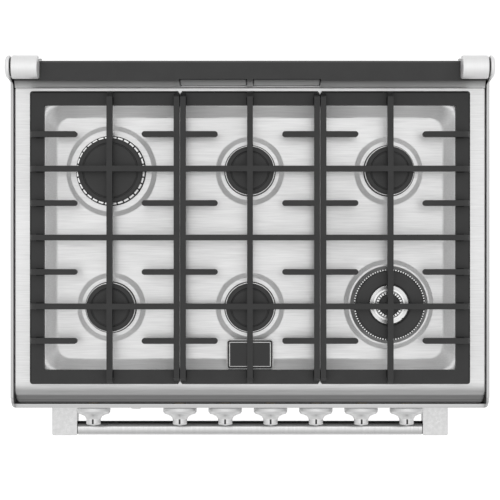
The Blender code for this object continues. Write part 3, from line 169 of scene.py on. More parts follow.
def use_group(material, shader, group, vector, values, bump_metres, kind="Position"):
    """Places a group in a material, feeds colour and roughness from it and bumps the surface."""
    tree = material.node_tree
    made = tree.nodes.new("ShaderNodeGroup")
    made.node_tree = group
    tree.links.new(vector, made.inputs[kind])
    for label, value in values.items():
        made.inputs[label].default_value = value
    tree.links.new(made.outputs["Colour"], shader.inputs["Base Color"])
    tree.links.new(made.outputs["Roughness"], shader.inputs["Roughness"])
    bump = tree.nodes.new("ShaderNodeBump")
    bump.inputs["Distance"].default_value = bump_metres
    bump.inputs["Strength"].default_value = 1.0
    tree.links.new(made.outputs["Height"], bump.inputs["Height"])
    tree.links.new(bump.outputs["Normal"], shader.inputs["Normal"])
    return made


def grey(value):
    return (value, value, value, 1)


pebbled_skin = speckle_group()


def pebbled_material(name, dark, light, smooth, rough, grains, bump_metres, metallic=0.0):
    made, shader = new_material(name, light[:3], rough, metallic)
    values = {"Grains per metre": grains, "Dark": dark, "Light": light, "Smooth": smooth, "Rough": rough}
    position = stretched_position(made.node_tree, (1, 1, 1))
    use_group(made, shader, pebbled_skin, position, values, bump_metres)
    return made


def dress(node, material):
    """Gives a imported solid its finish."""
    slots = nodes[node].data.materials
    slots.clear()
    slots.append(material)


powder_coat = pebbled_material("dark_powder_coat", grey(0.022), grey(0.034), 0.42, 0.58, 700, 0.00004)
dress("base_frame", powder_coat)


# ---- Levelling legs
# Turned steel tubes on a wide foot, with a knurled collar that is turned by hand to level the
# range. The screw above goes up into the boss of the base frame.


def soften(points, steps=5):
    """Rounds an outline's corners: a point is (a, b), or (a, b, radius) where it is rounded."""
    rounded = []
    for i, point in enumerate(points):
        here = Vector(point[:2])
        if len(point) < 3 or i in (0, len(points) - 1):
            rounded.append(tuple(here))
            continue
        back, ahead = Vector(points[i - 1][:2]) - here, Vector(points[i + 1][:2]) - here
        half = back.angle(ahead) / 2
        reach = min(point[2] / math.tan(half), back.length * 0.49, ahead.length * 0.49)
        start, end = here + back.normalized() * reach, here + ahead.normalized() * reach
        for k in range(steps + 1):
            t = k / steps
            rounded.append(tuple(start * (1 - t) ** 2 + here * 2 * t * (1 - t) + end * t * t))
    return rounded


def lathe(profile, base, axis, sides=64):
    """Turns (radius, height) points about the axis. The UV map holds the metres round and along."""
    bm = bmesh.new()
    uv = bm.loops.layers.uv.new("turned")
    place = Matrix.Translation(base) @ Vector((0, 0, 1)).rotation_difference(
        Vector(axis)
    ).to_matrix().to_4x4()
    rings, lengths = [], [0.0]
    for first, second in zip(profile, profile[1:]):
        lengths.append(lengths[-1] + math.dist(first, second))
    for radius, height in profile:
        count = 1 if radius < 1e-7 else sides
        turns = [2 * math.pi * i / sides for i in range(count)]
        spots = [Vector((radius * math.cos(a), radius * math.sin(a), height)) for a in turns]
        rings.append([bm.verts.new(place @ spot) for spot in spots])
    pairs = [(k, k + 1) for k in range(len(rings) - 1)]
    if len(rings[0]) > 1:
        pairs.append((len(rings) - 1, 0))
    for a, b in pairs:
        for i in range(sides):
            j = (i + 1) % sides
            low, high = rings[a], rings[b]
            corners = [(low, i, a), (low, j, a), (high, j, b), (high, i, b)]
            if len(low) == 1:
                corners = [(low, 0, a), (high, j, b), (high, i, b)]
            elif len(high) == 1:
                corners = [(low, i, a), (low, j, a), (high, 0, b)]
            face = bm.faces.new([ring[k] for ring, k, _ in corners])
            for loop, (_, _, row) in zip(face.loops, corners):
                loop[uv].uv = (i / sides, lengths[row])
    return bm


def make_piece(name, bm, material, smooth=True):
    """Turns a bmesh into an object at the origin, with its faces pointing out."""
    bmesh.ops.remove_doubles(bm, verts=bm.verts, dist=1e-6)
    bmesh.ops.recalc_face_normals(bm, faces=bm.faces)
    mesh = bpy.data.meshes.new(name)
    bm.to_mesh(mesh)
    bm.free()
    made = bpy.data.objects.new(name, mesh)
    bpy.context.scene.collection.objects.link(made)
    mesh.materials.append(material)
    if smooth:
        mesh.shade_smooth()
        even = made.modifiers.new("even shading", "WEIGHTED_NORMAL")
        even.keep_sharp = True
    return made


def grain_group():
    """Long fine scratches from a grinding belt or a lathe tool, with slow changes of tone."""
    group, start, end = shader_group(
        "ground_grain",
        [
            ("Position", "NodeSocketVector", None),
            ("Dark", "NodeSocketColor", (0.5, 0.5, 0.5, 1)),
            ("Light", "NodeSocketColor", (0.7, 0.7, 0.7, 1)),
            ("Smooth", "NodeSocketFloat", 0.25),
            ("Rough", "NodeSocketFloat", 0.4),
        ],
        [("Colour", "NodeSocketColor"), ("Roughness", "NodeSocketFloat"), ("Height", "NodeSocketFloat")],
    )
    fine = noise(group, start.outputs["Position"], 1.0, 2.0, 0.6)
    broad = noise(group, start.outputs["Position"], 0.17, 3.0, 0.7)
    mixed = group.nodes.new("ShaderNodeMix")
    mixed.inputs["Factor"].default_value = 0.55
    group.links.new(fine, mixed.inputs[2])
    group.links.new(broad, mixed.inputs[3])
    tone = spread(group, mixed.outputs[0], 0.32, 0.68, 0.0, 1.0)
    colour = blend_colours(group, tone, start.outputs["Dark"], start.outputs["Light"])
    group.links.new(colour, end.inputs["Colour"])
    shine = spread(group, mixed.outputs[0], 0.3, 0.7, start.outputs["Rough"], start.outputs["Smooth"])
    group.links.new(shine, end.inputs["Roughness"])
    group.links.new(fine, end.inputs["Height"])
    return group


ground_grain = grain_group()


def ground_material(name, per_metre, dark, light, smooth, rough, bump_metres=0.000012, kind="Object"):
    """Bare steel with a grain: few units a metre along the scratches and many across them."""
    made, shader = new_material(name, light[:3], rough, 1.0)
    values = {"Dark": dark, "Light": light, "Smooth": smooth, "Rough": rough}
    position = stretched_position(made.node_tree, per_metre, kind)
    use_group(made, shader, ground_grain, position, values, bump_metres)
    return made


turned_steel = ground_material("turned_steel", (6, 1600, 1), grey(0.60), grey(0.78), 0.20, 0.32, kind="UV")
COLLAR_RIBS = 36
for leg in ("leg_front_left", "leg_front_right", "leg_rear_left", "leg_rear_right"):
    low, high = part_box(leg)
    foot_radius = (high.x - low.x) / 2
    tube_radius = foot_radius * 0.77
    centre_x, centre_y = (low.x + high.x) / 2, (low.y + high.y) / 2
    tube_top, collar, collar_top = 0.0995, 0.060, 0.074
    outline = [(0, low.z), (foot_radius, low.z, 0.0015), (foot_radius, low.z + 0.007, 0.002)]
    outline += [(tube_radius * 0.96, low.z + 0.015, 0.004), (tube_radius * 0.96, collar, 0.001)]
    outline += [(tube_radius, collar, 0.001), (tube_radius, collar_top, 0.001)]
    outline += [(tube_radius * 0.96, collar_top, 0.001), (tube_radius * 0.96, tube_top, 0.001)]
    outline += [(0.008, tube_top), (0.008, high.z, 0.001), (0, high.z)]
    turned = lathe(soften(outline, 4), (centre_x, centre_y, 0), (0, 0, 1), COLLAR_RIBS * 2)
    for i, vert in enumerate(turned.verts):
        radius = math.hypot(vert.co.x - centre_x, vert.co.y - centre_y)
        if collar < vert.co.z < collar_top and radius > tube_radius * 0.97:
            turn = math.atan2(vert.co.y - centre_y, vert.co.x - centre_x)
            shrink = 1 - 0.02 * (1 + math.cos(COLLAR_RIBS * turn)) / 2
            vert.co.x = centre_x + (vert.co.x - centre_x) * shrink
            vert.co.y = centre_y + (vert.co.y - centre_y) * shrink
    leg_piece = make_piece(leg + "_turned", turned, turned_steel)
    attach(leg_piece, leg)
    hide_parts(leg)


# ---- Side panels
# Stainless sheet folded over at every edge and brushed front to back. An upright ear at the rear
# carries the backguard's end piece, and a ledge inside carries the worktop.


def plate(outline, span, axis="X"):
    """A flat plate: an outline of (y, z) points taken along X, (x, z) along Y or (x, y) along Z."""
    bm = bmesh.new()
    low, high = min(span), max(span)
    spots = {
        "X": [(low, a, b) for a, b in outline],
        "Y": [(a, low, b) for a, b in outline],
        "Z": [(a, b, low) for a, b in outline],
    }[axis]
    step = Vector([(high - low) * (letter == axis) for letter in "XYZ"])
    face = bm.faces.new([bm.verts.new(spot) for spot in spots])
    grown = bmesh.ops.extrude_face_region(bm, geom=[face])["geom"]
    bmesh.ops.translate(bm, verts=[g for g in grown if isinstance(g, bmesh.types.BMVert)], vec=step)
    return bm


def round_edges(piece, width, segments=3, angle=30):
    """Rounds a piece's sharp edges, before the shading is evened."""
    rounding = piece.modifiers.new("rounded edges", "BEVEL")
    rounding.width = width
    rounding.segments = segments
    rounding.limit_method = "ANGLE"
    rounding.angle_limit = math.radians(angle)
    rounding.harden_normals = False
    for i, step in enumerate(piece.modifiers):
        if step.type == "WEIGHTED_NORMAL":
            piece.modifiers.move(i, len(piece.modifiers) - 1)
            break
    return piece


def scatter_tree():
    """Geometry nodes that set a template on every vertex, turned to face the stored direction."""
    tree = bpy.data.node_groups.new("set_on_points", "GeometryNodeTree")
    tree.interface.new_socket("Geometry", in_out="INPUT", socket_type="NodeSocketGeometry")
    tree.interface.new_socket("Template", in_out="INPUT", socket_type="NodeSocketObject")
    tree.interface.new_socket("Finish", in_out="INPUT", socket_type="NodeSocketMaterial")
    tree.interface.new_socket("Geometry", in_out="OUTPUT", socket_type="NodeSocketGeometry")
    start, end = tree.nodes.new("NodeGroupInput"), tree.nodes.new("NodeGroupOutput")
    template = tree.nodes.new("GeometryNodeObjectInfo")
    facing = tree.nodes.new("GeometryNodeInputNamedAttribute")
    facing.data_type = "FLOAT_VECTOR"
    facing.inputs["Name"].default_value = "facing"
    turn = tree.nodes.new("FunctionNodeAlignRotationToVector")
    turn.axis = "Z"
    place = tree.nodes.new("GeometryNodeInstanceOnPoints")
    solid = tree.nodes.new("GeometryNodeRealizeInstances")
    finish = tree.nodes.new("GeometryNodeSetMaterial")
    tree.links.new(start.outputs["Template"], template.inputs["Object"])
    tree.links.new(facing.outputs["Attribute"], turn.inputs["Vector"])
    tree.links.new(start.outputs["Geometry"], place.inputs["Points"])
    tree.links.new(template.outputs["Geometry"], place.inputs["Instance"])
    tree.links.new(turn.outputs["Rotation"], place.inputs["Rotation"])
    tree.links.new(place.outputs["Instances"], solid.inputs["Geometry"])
    tree.links.new(solid.outputs["Geometry"], finish.inputs["Geometry"])
    tree.links.new(start.outputs["Finish"], finish.inputs["Material"])
    tree.links.new(finish.outputs["Geometry"], end.inputs["Geometry"])
    return tree


set_on_points = scatter_tree()


def run_nodes(name, mesh, tree, values, material):
    """Runs a geometry nodes tree over a mesh and keeps what it makes as a plain piece."""
    carrier = bpy.data.objects.new(name, mesh)
    bpy.context.scene.collection.objects.link(carrier)
    step = carrier.modifiers.new("pattern", "NODES")
    step.node_group = tree
    sockets = {s.name: s.identifier for s in tree.interface.items_tree if s.in_out == "INPUT"}
    for label, value in values.items():
        step[sockets[label]] = value
    graph = bpy.context.evaluated_depsgraph_get()
    result = bpy.data.meshes.new_from_object(carrier.evaluated_get(graph))
    bpy.data.objects.remove(carrier)
    result.name = name
    result.materials.clear()
    result.materials.append(material)
    made = bpy.data.objects.new(name, result)
    bpy.context.scene.collection.objects.link(made)
    return made


def set_on(name, template, places, material):
    """Copies a template to each (point, direction)."""
    points = bpy.data.meshes.new("points")
    points.from_pydata([tuple(point) for point, _ in places], [], [])
    facing = points.attributes.new("facing", "FLOAT_VECTOR", "POINT")
    facing.data.foreach_set("vector", [c for _, direction in places for c in direction])
    return run_nodes(name, points, set_on_points, {"Template": template, "Finish": material}, material)


def screw_template(radius, height):
    """A pan head with a cross recess, drawn round the origin and facing +Z."""
    outline = [(0, -0.0004), (radius, -0.0004), (radius, height * 0.35, 0.0003)]
    outline += [(radius * 0.8, height, 0.0008), (0, height)]
    head = make_piece(
        "screw_template", lathe(soften(outline, 3), (0, 0, 0), (0, 0, 1), 20), screw_steel, False
    )
    arms = []
    for long_x in (True, False):
        x, y = (radius * 0.55, radius * 0.13) if long_x else (radius * 0.13, radius * 0.55)
        corners = [(-x, -y), (x, -y), (x, y), (-x, y)]
        arms.append(
            make_piece("recess", plate(corners, (height * 0.45, height * 2), "Z"), screw_steel, False)
        )
    for arm in arms:
        cut_away(head, arm)
    return head


def shape_with(piece, tool, operation):
    step = piece.modifiers.new("shape", "BOOLEAN")
    step.operation = operation
    step.object = tool
    graph = bpy.context.evaluated_depsgraph_get()
    others = [m for m in piece.modifiers if m != step]
    was = [m.show_viewport for m in others]
    for m in others:
        m.show_viewport = False
    graph.update()
    shaped = bpy.data.meshes.new_from_object(piece.evaluated_get(bpy.context.evaluated_depsgraph_get()))
    for m, shown in zip(others, was):
        m.show_viewport = shown
    piece.modifiers.remove(step)
    piece.data = shaped
    bpy.data.objects.remove(tool)
    return piece


def cut_away(piece, tool):
    return shape_with(piece, tool, "DIFFERENCE")


def weld_on(piece, tool):
    return shape_with(piece, tool, "UNION")


side_steel = ground_material("side_steel", (900, 5, 900), grey(0.50), grey(0.60), 0.30, 0.42)
screw_steel = pebbled_material("zinc_screw", grey(0.42), grey(0.58), 0.28, 0.42, 600, 0.00001, 1.0)
EAR_FOOT_Y, EAR_FRONT_Y, PANEL_TOP = 0.3250, 0.3290, 0.9120
for side in ("left", "right"):
    node = "side_panel_" + side
    packed = nodes[node]
    bm = bmesh.new()
    bm.from_mesh(packed.data)
    bm.transform(packed.matrix_world)
    bmesh.ops.remove_doubles(bm, verts=bm.verts, dist=1e-6)
    ear_top = max(vert.co.z for vert in bm.verts)
    for vert in bm.verts:
        if 0.30 < vert.co.y < EAR_FOOT_Y and vert.co.z > PANEL_TOP:
            vert.co.y = EAR_FRONT_Y if vert.co.z > ear_top - 0.001 else EAR_FOOT_Y
    bmesh.ops.dissolve_limit(bm, angle_limit=0.002, verts=bm.verts, edges=bm.edges)
    folded = round_edges(make_piece(node + "_folded", bm, side_steel), 0.0007, 2)
    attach(folded, "cabinet")
    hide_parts(node)


# ---- Rear panel
# One galvanised sheet that closes the back, with two fields of pressed louvres to cool the fan
# motor and screws round the edge. The gas inlet comes out at its upper right.


def spangle_material(name, dark, light, metallic=1.0):
    """Hot-dip zinc: flat crystals a few millimetres across, each its own tone."""
    made, shader = new_material(name, light[:3], 0.45, metallic)
    tree = made.node_tree
    crystals = tree.nodes.new("ShaderNodeTexVoronoi")
    crystals.inputs["Scale"].default_value = 90.0
    tree.links.new(stretched_position(tree, (1, 1, 1)), crystals.inputs["Vector"])
    split = tree.nodes.new("ShaderNodeSeparateColor")
    tree.links.new(crystals.outputs["Color"], split.inputs["Color"])
    tree.links.new(blend_colours(tree, split.outputs["Red"], dark, light), shader.inputs["Base Color"])
    tree.links.new(spread(tree, split.outputs["Green"], 0, 1, 0.34, 0.55), shader.inputs["Roughness"])
    return made


zinc = spangle_material("spangled_zinc", (0.34, 0.35, 0.36), (0.52, 0.53, 0.54))
dress("rear_panel", zinc)
low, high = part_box("rear_panel")
LOUVRE_WIDTH, LOUVRE_STEP, LOUVRES = 0.150, 0.020, 9
arc = [(0, 0)] + [(0.0062 * math.sin(a), 0.011 * (1 - math.cos(a))) for a in (0.4, 0.8, 1.2, 1.57)]
louvre_outline = [(y, z) for y, z in arc] + [(0.0046, 0.011), (0, 0.004)]
louvre = make_piece("louvre", plate(louvre_outline, (-LOUVRE_WIDTH / 2, LOUVRE_WIDTH / 2)), zinc, False)
louvre.data.transform(Matrix.Rotation(math.pi / 2, 4, "X"))
spots = []
for column in (-0.20, 0.20):
    for i in range(LOUVRES):
        spots.append(((column, high.y - 0.0002, 0.36 + LOUVRE_STEP * i), (0, 1, 0)))
louvres = set_on("rear_louvres", louvre, spots, zinc)
bpy.data.objects.remove(louvre)
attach(louvres, "cabinet")
head = screw_template(0.0042, 0.0018)
spots = []
for i in range(7):
    x = (low.x + 0.02) + (high.x - low.x - 0.04) * i / 6
    spots += [((x, high.y, z), (0, 1, 0)) for z in (low.z + 0.014, high.z - 0.014)]
rear_screws = set_on("rear_screws", head, spots, screw_steel)
bpy.data.objects.remove(head)
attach(rear_screws, "cabinet")

# ---- Oven liner, fan cover and fan
# The liner is a porcelain-enamelled steel box with pressed rack ledges and a face frame: dark
# blue-black glass with fine pale flecks, fired on. The round fan cover is enamelled with it.


def flecked_enamel(name):
    made, shader = new_material(name, (0.02, 0.024, 0.036), 0.16)
    tree = made.node_tree
    flecks = tree.nodes.new("ShaderNodeTexVoronoi")
    flecks.inputs["Scale"].default_value = 420.0
    tree.links.new(stretched_position(tree, (1, 1, 1)), flecks.inputs["Vector"])
    dots = spread(tree, flecks.outputs["Distance"], 0.12, 0.2, 1.0, 0.0)
    split = tree.nodes.new("ShaderNodeSeparateColor")
    tree.links.new(flecks.outputs["Color"], split.inputs["Color"])
    chosen = spread(tree, split.outputs["Blue"], 0.72, 0.8, 0.0, 1.0)
    both = tree.nodes.new("ShaderNodeMath")
    both.operation = "MULTIPLY"
    tree.links.new(dots, both.inputs[0])
    tree.links.new(chosen, both.inputs[1])
    colour = blend_colours(tree, both.outputs[0], (0.016, 0.020, 0.032), (0.34, 0.36, 0.40))
    tree.links.new(colour, shader.inputs["Base Color"])
    wave = noise(tree, stretched_position(tree, (1, 1, 1)), 60.0, 2.0)
    bump = tree.nodes.new("ShaderNodeBump")
    bump.inputs["Distance"].default_value = 0.00025
    bump.inputs["Strength"].default_value = 0.6
    tree.links.new(wave, bump.inputs["Height"])
    tree.links.new(bump.outputs["Normal"], shader.inputs["Normal"])
    tree.links.new(spread(tree, wave, 0.3, 0.7, 0.12, 0.24), shader.inputs["Roughness"])
    return made


oven_enamel = flecked_enamel("flecked_oven_enamel")
for node in ("oven_liner", "fan_cover"):
    dress(node, oven_enamel)
dress("convection_fan", zinc)
dress("oven_flue", zinc)
dress("fan_motor", powder_coat)


# ---- Oven lamp
# A pressed glass dome over a halogen bulb, moulded with fine ribs, in the oven's rear wall.
lamp_glass, shader = new_material("ribbed_lamp_glass", (0.92, 0.93, 0.90), 0.08)
shader.inputs["Transmission Weight"].default_value = 0.85
tree = lamp_glass.node_tree
ribs = tree.nodes.new("ShaderNodeTexWave")
ribs.inputs["Scale"].default_value = 160.0
tree.links.new(stretched_position(tree, (1, 1, 1)), ribs.inputs["Vector"])
bump = tree.nodes.new("ShaderNodeBump")
bump.inputs["Distance"].default_value = 0.0003
tree.links.new(ribs.outputs["Fac"], bump.inputs["Height"])
tree.links.new(bump.outputs["Normal"], shader.inputs["Normal"])
low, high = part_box("oven_lamp")
radius, depth = (high.x - low.x) / 2, high.y - low.y
outline = [
    (0, 0), (radius, 0), (radius, 0.006, 0.002), (radius * 0.8, 0.0125, 0.004),
    (radius * 0.4, depth, 0.006)
]
centre = ((low.x + high.x) / 2, high.y, (low.z + high.z) / 2)
lamp = make_piece(
    "oven_lamp_lens", lathe(soften(outline + [(0, depth)]), centre, (0, -1, 0), 48), lamp_glass
)
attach(lamp, "cabinet")
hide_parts("oven_lamp")


# ---- Bake and broil burners
# Aluminised steel: a tube burner under the oven floor and a ribbed panel burner under its roof.
aluminised = pebbled_material("aluminised_steel", grey(0.40), grey(0.54), 0.38, 0.55, 500, 0.00003, 1.0)
dress("bake_burner", aluminised)
dress("broil_burner", aluminised)


# ---- Oven racks
# Nickel-chromed wire racks: a frame of thick rod, with a row of thin wires welded over it from
# front to back. They slide on the ledges of the liner.
bright_chrome, shader = new_material("bright_chrome", (0.74, 0.74, 0.75), 0.10, 1.0)
tree = bright_chrome.node_tree
stain = noise(tree, stretched_position(tree, (1, 1, 1)), 30.0, 4.0, 0.6)
tree.links.new(spread(tree, stain, 0.35, 0.75, 0.07, 0.26), shader.inputs["Roughness"])
tree.links.new(
    blend_colours(tree, stain, (0.80, 0.80, 0.81), (0.64, 0.63, 0.61)), shader.inputs["Base Color"]
)


def wire_tree():
    """Geometry nodes that sweep every edge of a mesh as a round wire."""
    tree = bpy.data.node_groups.new("bend_wires", "GeometryNodeTree")
    tree.interface.new_socket("Geometry", in_out="INPUT", socket_type="NodeSocketGeometry")
    tree.interface.new_socket("Wire radius", in_out="INPUT", socket_type="NodeSocketFloat")
    tree.interface.new_socket("Finish", in_out="INPUT", socket_type="NodeSocketMaterial")
    tree.interface.new_socket("Geometry", in_out="OUTPUT", socket_type="NodeSocketGeometry")
    start, end = tree.nodes.new("NodeGroupInput"), tree.nodes.new("NodeGroupOutput")
    line = tree.nodes.new("GeometryNodeMeshToCurve")
    circle = tree.nodes.new("GeometryNodeCurvePrimitiveCircle")
    circle.inputs["Resolution"].default_value = 12
    sweep = tree.nodes.new("GeometryNodeCurveToMesh")
    sweep.inputs["Fill Caps"].default_value = True
    solid = tree.nodes.new("GeometryNodeRealizeInstances")
    finish = tree.nodes.new("GeometryNodeSetMaterial")
    tree.links.new(start.outputs["Geometry"], line.inputs["Mesh"])
    tree.links.new(start.outputs["Wire radius"], circle.inputs["Radius"])
    tree.links.new(line.outputs["Curve"], sweep.inputs["Curve"])
    tree.links.new(circle.outputs["Curve"], sweep.inputs["Profile Curve"])
    tree.links.new(sweep.outputs["Mesh"], solid.inputs["Geometry"])
    tree.links.new(solid.outputs["Geometry"], finish.inputs["Geometry"])
    tree.links.new(start.outputs["Finish"], finish.inputs["Material"])
    tree.links.new(finish.outputs["Geometry"], end.inputs["Geometry"])
    return tree


bend_wires = wire_tree()


def wires(name, runs, radius, material):
    """Round wires along runs of points."""
    verts, edges = [], []
    for run in runs:
        first = len(verts)
        verts += [tuple(point) for point in run]
        edges += [(first + i, first + i + 1) for i in range(len(run) - 1)]
    mesh = bpy.data.meshes.new("runs")
    mesh.from_pydata(verts, edges, [])
    made = run_nodes(name, mesh, bend_wires, {"Wire radius": radius, "Finish": material}, material)
    made.data.shade_smooth()
    return made


RACK_FRAME, RACK_WIRE, RACK_WIRES = 0.003, 0.0019, 23
for level in ("lower", "upper"):
    low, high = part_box("rack_" + level)
    z = low.z + RACK_FRAME
    left, right = low.x + RACK_FRAME * 1.2, high.x - RACK_FRAME * 1.2
    front, back = low.y + RACK_FRAME, high.y - RACK_FRAME
    corner = 0.012
    ring = []
    for cx, cy, start in ((right, back, 0), (left, back, 90), (left, front, 180), (right, front, 270)):
        middle = Vector((cx - math.copysign(corner, cx), cy - corner if cy == back else cy + corner, z))
        turns = [math.radians(start + 90 * k / 5) for k in range(6)]
        ring += [middle + Vector((corner * math.cos(a), corner * math.sin(a), 0)) for a in turns]
    ring.append(ring[0])
    cross = [[(left, y, z), (right, y, z)] for y in ((front * 2 + back) / 3, (front + back * 2) / 3)]
    rods = wires(f"rack_{level}_frame", [ring] + cross, RACK_FRAME * 0.95, bright_chrome)
    over = z + RACK_FRAME * 0.95
    runs = []
    for i in range(RACK_WIRES):
        x = left + (right - left) * (i + 1) / (RACK_WIRES + 1)
        runs.append([(x, front, over), (x, back, over)])
    thin = wires(f"rack_{level}_wires", runs, RACK_WIRE, bright_chrome)
    for part in (rods, thin):
        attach(part, "rack_" + level)
    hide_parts("rack_" + level)


# ---- Door gasket
# A woven glass-fibre tube with a rubbery black coat, clipped round the mouth of the oven.
gasket_rubber = pebbled_material("woven_gasket", grey(0.012), grey(0.030), 0.75, 0.92, 1400, 0.0002)
dress("door_gasket", gasket_rubber)

# ---- Control panel
# Brushed stainless sheet with rounded vertical corners, folded back along its top edge where it
# slips under the nose of the worktop. The grain runs from side to side.
front_steel = ground_material("front_steel", (5, 900, 900), grey(0.52), grey(0.62), 0.28, 0.40)
dress("control_panel", front_steel)


# ---- Gas manifold
# Turned brass valves with steel stems on a steel pipe, and a tube to each burner.
brass = pebbled_material(
    "turned_brass", (0.46, 0.35, 0.17, 1), (0.60, 0.47, 0.25, 1), 0.28, 0.45, 300, 0.00002, 1.0
)
dress("gas_manifold", brass)


# ---- Control knobs
# Solid knobs turned from steel and satin blasted: a rounded skirt, a hollow flare up to a slim
# neck, a domed end. A black enamelled line inlaid along the neck shows where it points.
pointer_black = pebbled_material("pointer_enamel", grey(0.008), grey(0.014), 0.25, 0.35, 900, 0.00001)
KNOB_TILT = 5.0
axis = Vector((0, -math.cos(math.radians(KNOB_TILT)), math.sin(math.radians(KNOB_TILT))))
knob_steel = ground_material("knob_steel", (5, 2200, 1), grey(0.74), grey(0.88), 0.28, 0.40, 0.000006, "UV")
knob_steel.node_tree.nodes["Principled BSDF"].inputs["Metallic"].default_value = 0.8
for knob in ["knob_oven"] + [f"knob_burner_{i}" for i in range(1, 7)]:
    low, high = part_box(knob)
    skirt = (high.x - low.x) / 2
    centre = (low + high) / 2
    half_length = ((high.y - low.y) / 2 - skirt * axis.z) / -axis.y
    foot = centre - axis * half_length
    length = half_length * 2
    neck = skirt * 0.425
    outline = [(0, 0), (skirt - 0.0012, 0), (skirt, 0.0012, 0.0008), (skirt, 0.0074, 0.003)]
    outline += [
        (skirt * 0.89, 0.0122, 0.0022), (skirt * 0.72, 0.0134, 0.0030), (skirt * 0.52, 0.0168, 0.006)
    ]
    outline += [(neck, 0.0222, 0.007), (neck, length - 0.0026, 0.0024), (0, length)]
    turned = make_piece(knob + "_turned", lathe(soften(outline, 8), foot, axis, 96), knob_steel)
    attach(turned, knob)
    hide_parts(knob)
    up = axis.cross(Vector((1, 0, 0))).normalized()
    up = up if up.z > 0 else -up
    line_half, line_start, line_end = 0.0018, 0.0225, length - 0.0030
    corners = []
    for along in (line_start, line_end):
        for across in (-line_half, line_half):
            for rise in (neck - 0.0014, neck + 0.0004):
                corners.append(foot + axis * along + Vector((1, 0, 0)) * across + up * rise)
    bm = bmesh.new()
    spots = [bm.verts.new(spot) for spot in corners]
    for face in ((0, 1, 3, 2), (4, 6, 7, 5), (0, 4, 5, 1), (2, 3, 7, 6), (1, 5, 7, 3), (0, 2, 6, 4)):
        bm.faces.new([spots[i] for i in face])
    pointer = round_edges(make_piece(knob + "_pointer", bm, pointer_black), 0.0004, 2)
    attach(pointer, knob)


# ---- Oven light button
# A small domed push button, turned and satin blasted like the knobs.
low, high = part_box("light_button")
radius = (high.x - low.x) / 2
centre = (low + high) / 2
half_length = ((high.y - low.y) / 2 - radius * axis.z) / -axis.y
foot = centre - axis * half_length
length = half_length * 2
outline = [
    (0, 0), (radius, 0), (radius, length - 0.0018, 0.0008), (radius * 0.8, length - 0.0004, 0.002),
    (0, length)
]
button = make_piece("light_button_turned", lathe(soften(outline, 5), foot, axis, 48), knob_steel)
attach(button, "light_button")
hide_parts("light_button")

# ---- Worktop
# One pressed stainless sheet: a flat rim with a rounded front nose, a recessed pan with sloping
# walls and a seat pressed up round each burner. It is brushed from side to side.


def rounded_loop(left, right, front, back, corner, height, per_corner=16, back_corner=None):
    """A loop of points round a rectangle with rounded corners, starting at the right front."""
    points = []
    rear = corner if back_corner is None else back_corner
    for cx, cy, start, corner in (
        (right - corner, front + corner, -90, corner),
        (right - rear, back - rear, 0, rear),
        (left + rear, back - rear, 90, rear),
        (left + corner, front + corner, 180, corner),
    ):
        for k in range(per_corner + 1):
            turn = math.radians(start + 90 * k / per_corner)
            points.append(Vector((cx + corner * math.cos(turn), cy + corner * math.sin(turn), height)))
    return points


def wrinkled_steel_group():
    """Rolled and brushed sheet: long streaks in two widths, a slow stain and a soft waviness."""
    group, start, end = shader_group(
        "rolled_and_brushed",
        [
            ("Position", "NodeSocketVector", None),
            ("Dark", "NodeSocketColor", (0.6, 0.6, 0.6, 1)),
            ("Light", "NodeSocketColor", (0.8, 0.8, 0.8, 1)),
            ("Smooth", "NodeSocketFloat", 0.25),
            ("Rough", "NodeSocketFloat", 0.4),
        ],
        [("Colour", "NodeSocketColor"), ("Roughness", "NodeSocketFloat"), ("Height", "NodeSocketFloat")],
    )

    def stretched(per_metre):
        made = group.nodes.new("ShaderNodeMapping")
        made.inputs["Scale"].default_value = per_metre
        group.links.new(start.outputs["Position"], made.inputs["Vector"])
        return made.outputs["Vector"]

    fine = noise(group, stretched((24, 1300, 1300)), 1.0, 3.0, 0.65)
    streaks = noise(group, stretched((16, 420, 420)), 1.0, 2.0, 0.5)
    stain = noise(group, stretched((3, 5, 5)), 1.0, 3.0, 0.5)
    first = group.nodes.new("ShaderNodeMix")
    first.inputs["Factor"].default_value = 0.45
    group.links.new(fine, first.inputs[2])
    group.links.new(streaks, first.inputs[3])
    both = group.nodes.new("ShaderNodeMix")
    both.inputs["Factor"].default_value = 0.30
    group.links.new(first.outputs[0], both.inputs[2])
    group.links.new(stain, both.inputs[3])
    tone = spread(group, both.outputs[0], 0.36, 0.64, 0.0, 1.0)
    group.links.new(
        blend_colours(group, tone, start.outputs["Dark"], start.outputs["Light"]), end.inputs["Colour"]
    )
    shine = spread(group, both.outputs[0], 0.35, 0.65, start.outputs["Rough"], start.outputs["Smooth"])
    group.links.new(shine, end.inputs["Roughness"])
    group.links.new(first.outputs[0], end.inputs["Height"])
    return group


rolled_and_brushed = wrinkled_steel_group()


def sheet_material(name, dark, light, smooth, rough, bump_metres):
    made, shader = new_material(name, light[:3], rough, 1.0)
    shader.inputs["Anisotropic"].default_value = 0.4
    values = {"Dark": dark, "Light": light, "Smooth": smooth, "Rough": rough}
    position = stretched_position(made.node_tree, (1, 1, 1))
    use_group(made, shader, rolled_and_brushed, position, values, bump_metres)
    return made


MIX_FIRST, MIX_SECOND, MIXED = 6, 7, 2  # the colour sockets of a Mix node


def shade_ramp(tree, place, stops):
    """Greys along a ramp, read at a place from 0 to 1. The first two stops are its two ends."""
    ramp = tree.nodes.new("ShaderNodeValToRGB")
    for i, (at, value) in enumerate(stops):
        stop = ramp.color_ramp.elements[i] if i < 2 else ramp.color_ramp.elements.new(at)
        stop.position, stop.color = at, grey(value)
    tree.links.new(place, ramp.inputs["Fac"])
    return ramp.outputs["Color"]


